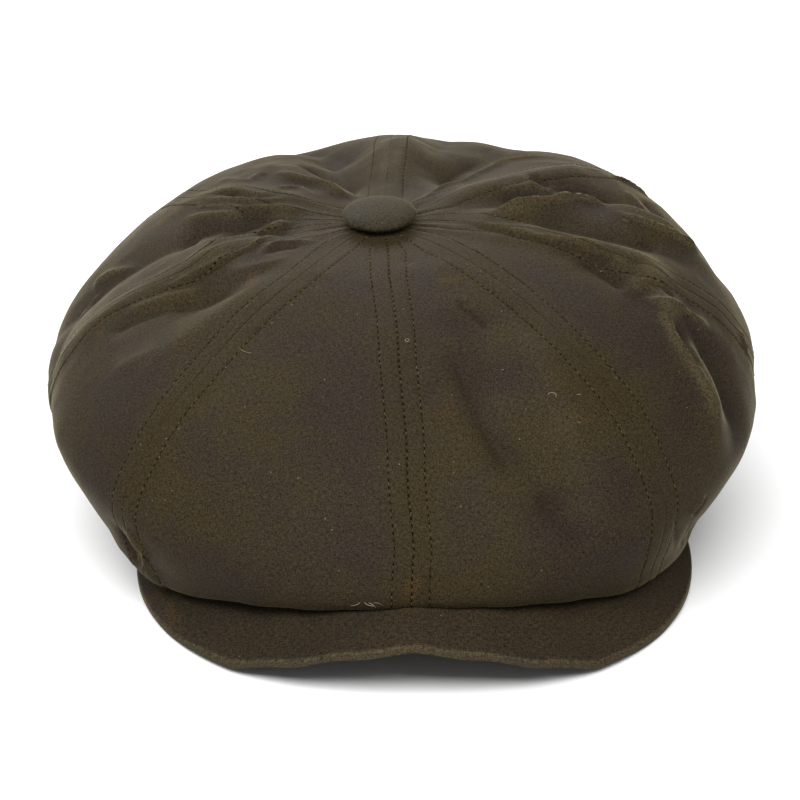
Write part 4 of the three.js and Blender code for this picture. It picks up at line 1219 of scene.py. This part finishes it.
def make_fibres():
    """All fibres as one piece, each closed with a flat end."""
    points, faces = [], []
    k = np.arange(FIBRE_STEPS * FIBRE_SIDES).reshape(FIBRE_STEPS, FIBRE_SIDES)
    after = np.roll(k, -1, 1)
    sides = patch(k[:-1], after[:-1], after[1:], k[1:]).tolist()
    for number, (_, *fibre) in enumerate(FIBRES):
        points.append(fibre_tube(*fibre).reshape(-1, 3))
        shift = number * k.size
        rings = sides + [k[0, ::-1].tolist(), k[-1].tolist()]
        faces += [[corner + shift for corner in face] for face in rings]
    make_piece("lint_fibres", np.concatenate(points), np.array(faces, dtype=object), lint_fibre,
               "crown_cloth")


lint_fibre = mottled("lint_fibre", "5f553f", "857c62", 300, 0.8)
make_fibres()

# %% [markdown]
# ## Floor, light and camera
#
# The cap is shown on white. A wide lamp high in front lights its face and leaves the floor under the peak
# dark, and a lower one behind it rakes over the folds on top. The camera looks down at it by 27 degrees,
# from far enough away that the perspective is slight.

# %% Floor and light
FLOOR_RADIUS, FLOOR_CORNERS = 6, 96


def pale_floor():
    """A wide pale disc under the cap."""
    turn = np.linspace(0, 2 * math.pi, FLOOR_CORNERS, endpoint=False)
    edge = np.stack([FLOOR_RADIUS * np.cos(turn), FLOOR_RADIUS * np.sin(turn), turn * 0], -1)
    mesh = bpy.data.meshes.new("floor")
    mesh.from_pydata(edge.tolist(), [], [list(range(FLOOR_CORNERS))])
    material, _, shader = new_finish("white_card")
    set_inputs(shader, {"Base Color": linear("dcdcdc"), "Roughness": 0.9})
    mesh.materials.append(material)
    floor = bpy.data.objects.new("floor", mesh)
    bpy.context.scene.collection.objects.link(floor)


def soft_lamp(name, place, towards, sizes, power):
    """A rectangular studio lamp at a place, turned towards a point."""
    light = bpy.data.lights.new(name, "AREA")
    light.shape, light.energy = "RECTANGLE", power
    light.size, light.size_y = sizes
    lamp = bpy.data.objects.new(name, light)
    lamp.location = place
    lamp.rotation_euler = (Vector(towards) - Vector(place)).to_track_quat("-Z", "Y").to_euler()
    bpy.context.scene.collection.objects.link(lamp)


pale_floor()
world = bpy.data.worlds.new("studio")
world.use_nodes = True
set_inputs(world.node_tree.nodes["Background"], {"Color": linear("ffffff"), "Strength": 0.48})
bpy.context.scene.world = world
soft_lamp("low_behind", (-0.5, 1.5, 1.05), (0, 0, 0.08), (2.2, 0.5), 42)
soft_lamp("high_in_front", (-0.15, -1.05, 1.5), (0, 0, 0.05), (2.4, 0.8), 64)
bpy.context.scene.view_settings.view_transform = "Standard"

# %% Camera
CAMERA_AZIMUTH, CAMERA_ELEVATION, CAMERA_DISTANCE = math.radians(-1), math.radians(27), 1400
CAMERA_TARGET = np.array([0.0, -10, 50])
FOCAL_PIXELS, IMAGE_PIXELS, SENSOR = 3684, 800, 36
MIDDLE_PIXEL = (407, 394)
back = Vector((
    math.sin(CAMERA_AZIMUTH) * math.cos(CAMERA_ELEVATION),
    -math.cos(CAMERA_AZIMUTH) * math.cos(CAMERA_ELEVATION),
    math.sin(CAMERA_ELEVATION),
))
camera_data = bpy.data.cameras.new("camera")
camera_data.sensor_width = SENSOR
camera_data.lens = FOCAL_PIXELS / IMAGE_PIXELS * SENSOR
camera_data.shift_x = (IMAGE_PIXELS / 2 - MIDDLE_PIXEL[0]) / IMAGE_PIXELS
camera_data.shift_y = (MIDDLE_PIXEL[1] - IMAGE_PIXELS / 2) / IMAGE_PIXELS
camera = bpy.data.objects.new("camera", camera_data)
camera.location = Vector(to_frame(CAMERA_TARGET)) + back * CAMERA_DISTANCE * MM
camera.rotation_mode = "QUATERNION"
camera.rotation_quaternion = (-back).to_track_quat("-Z", "Y")
bpy.context.scene.collection.objects.link(camera)
bpy.context.scene.camera = camera
print("lens", round(camera_data.lens, 1), "mm")
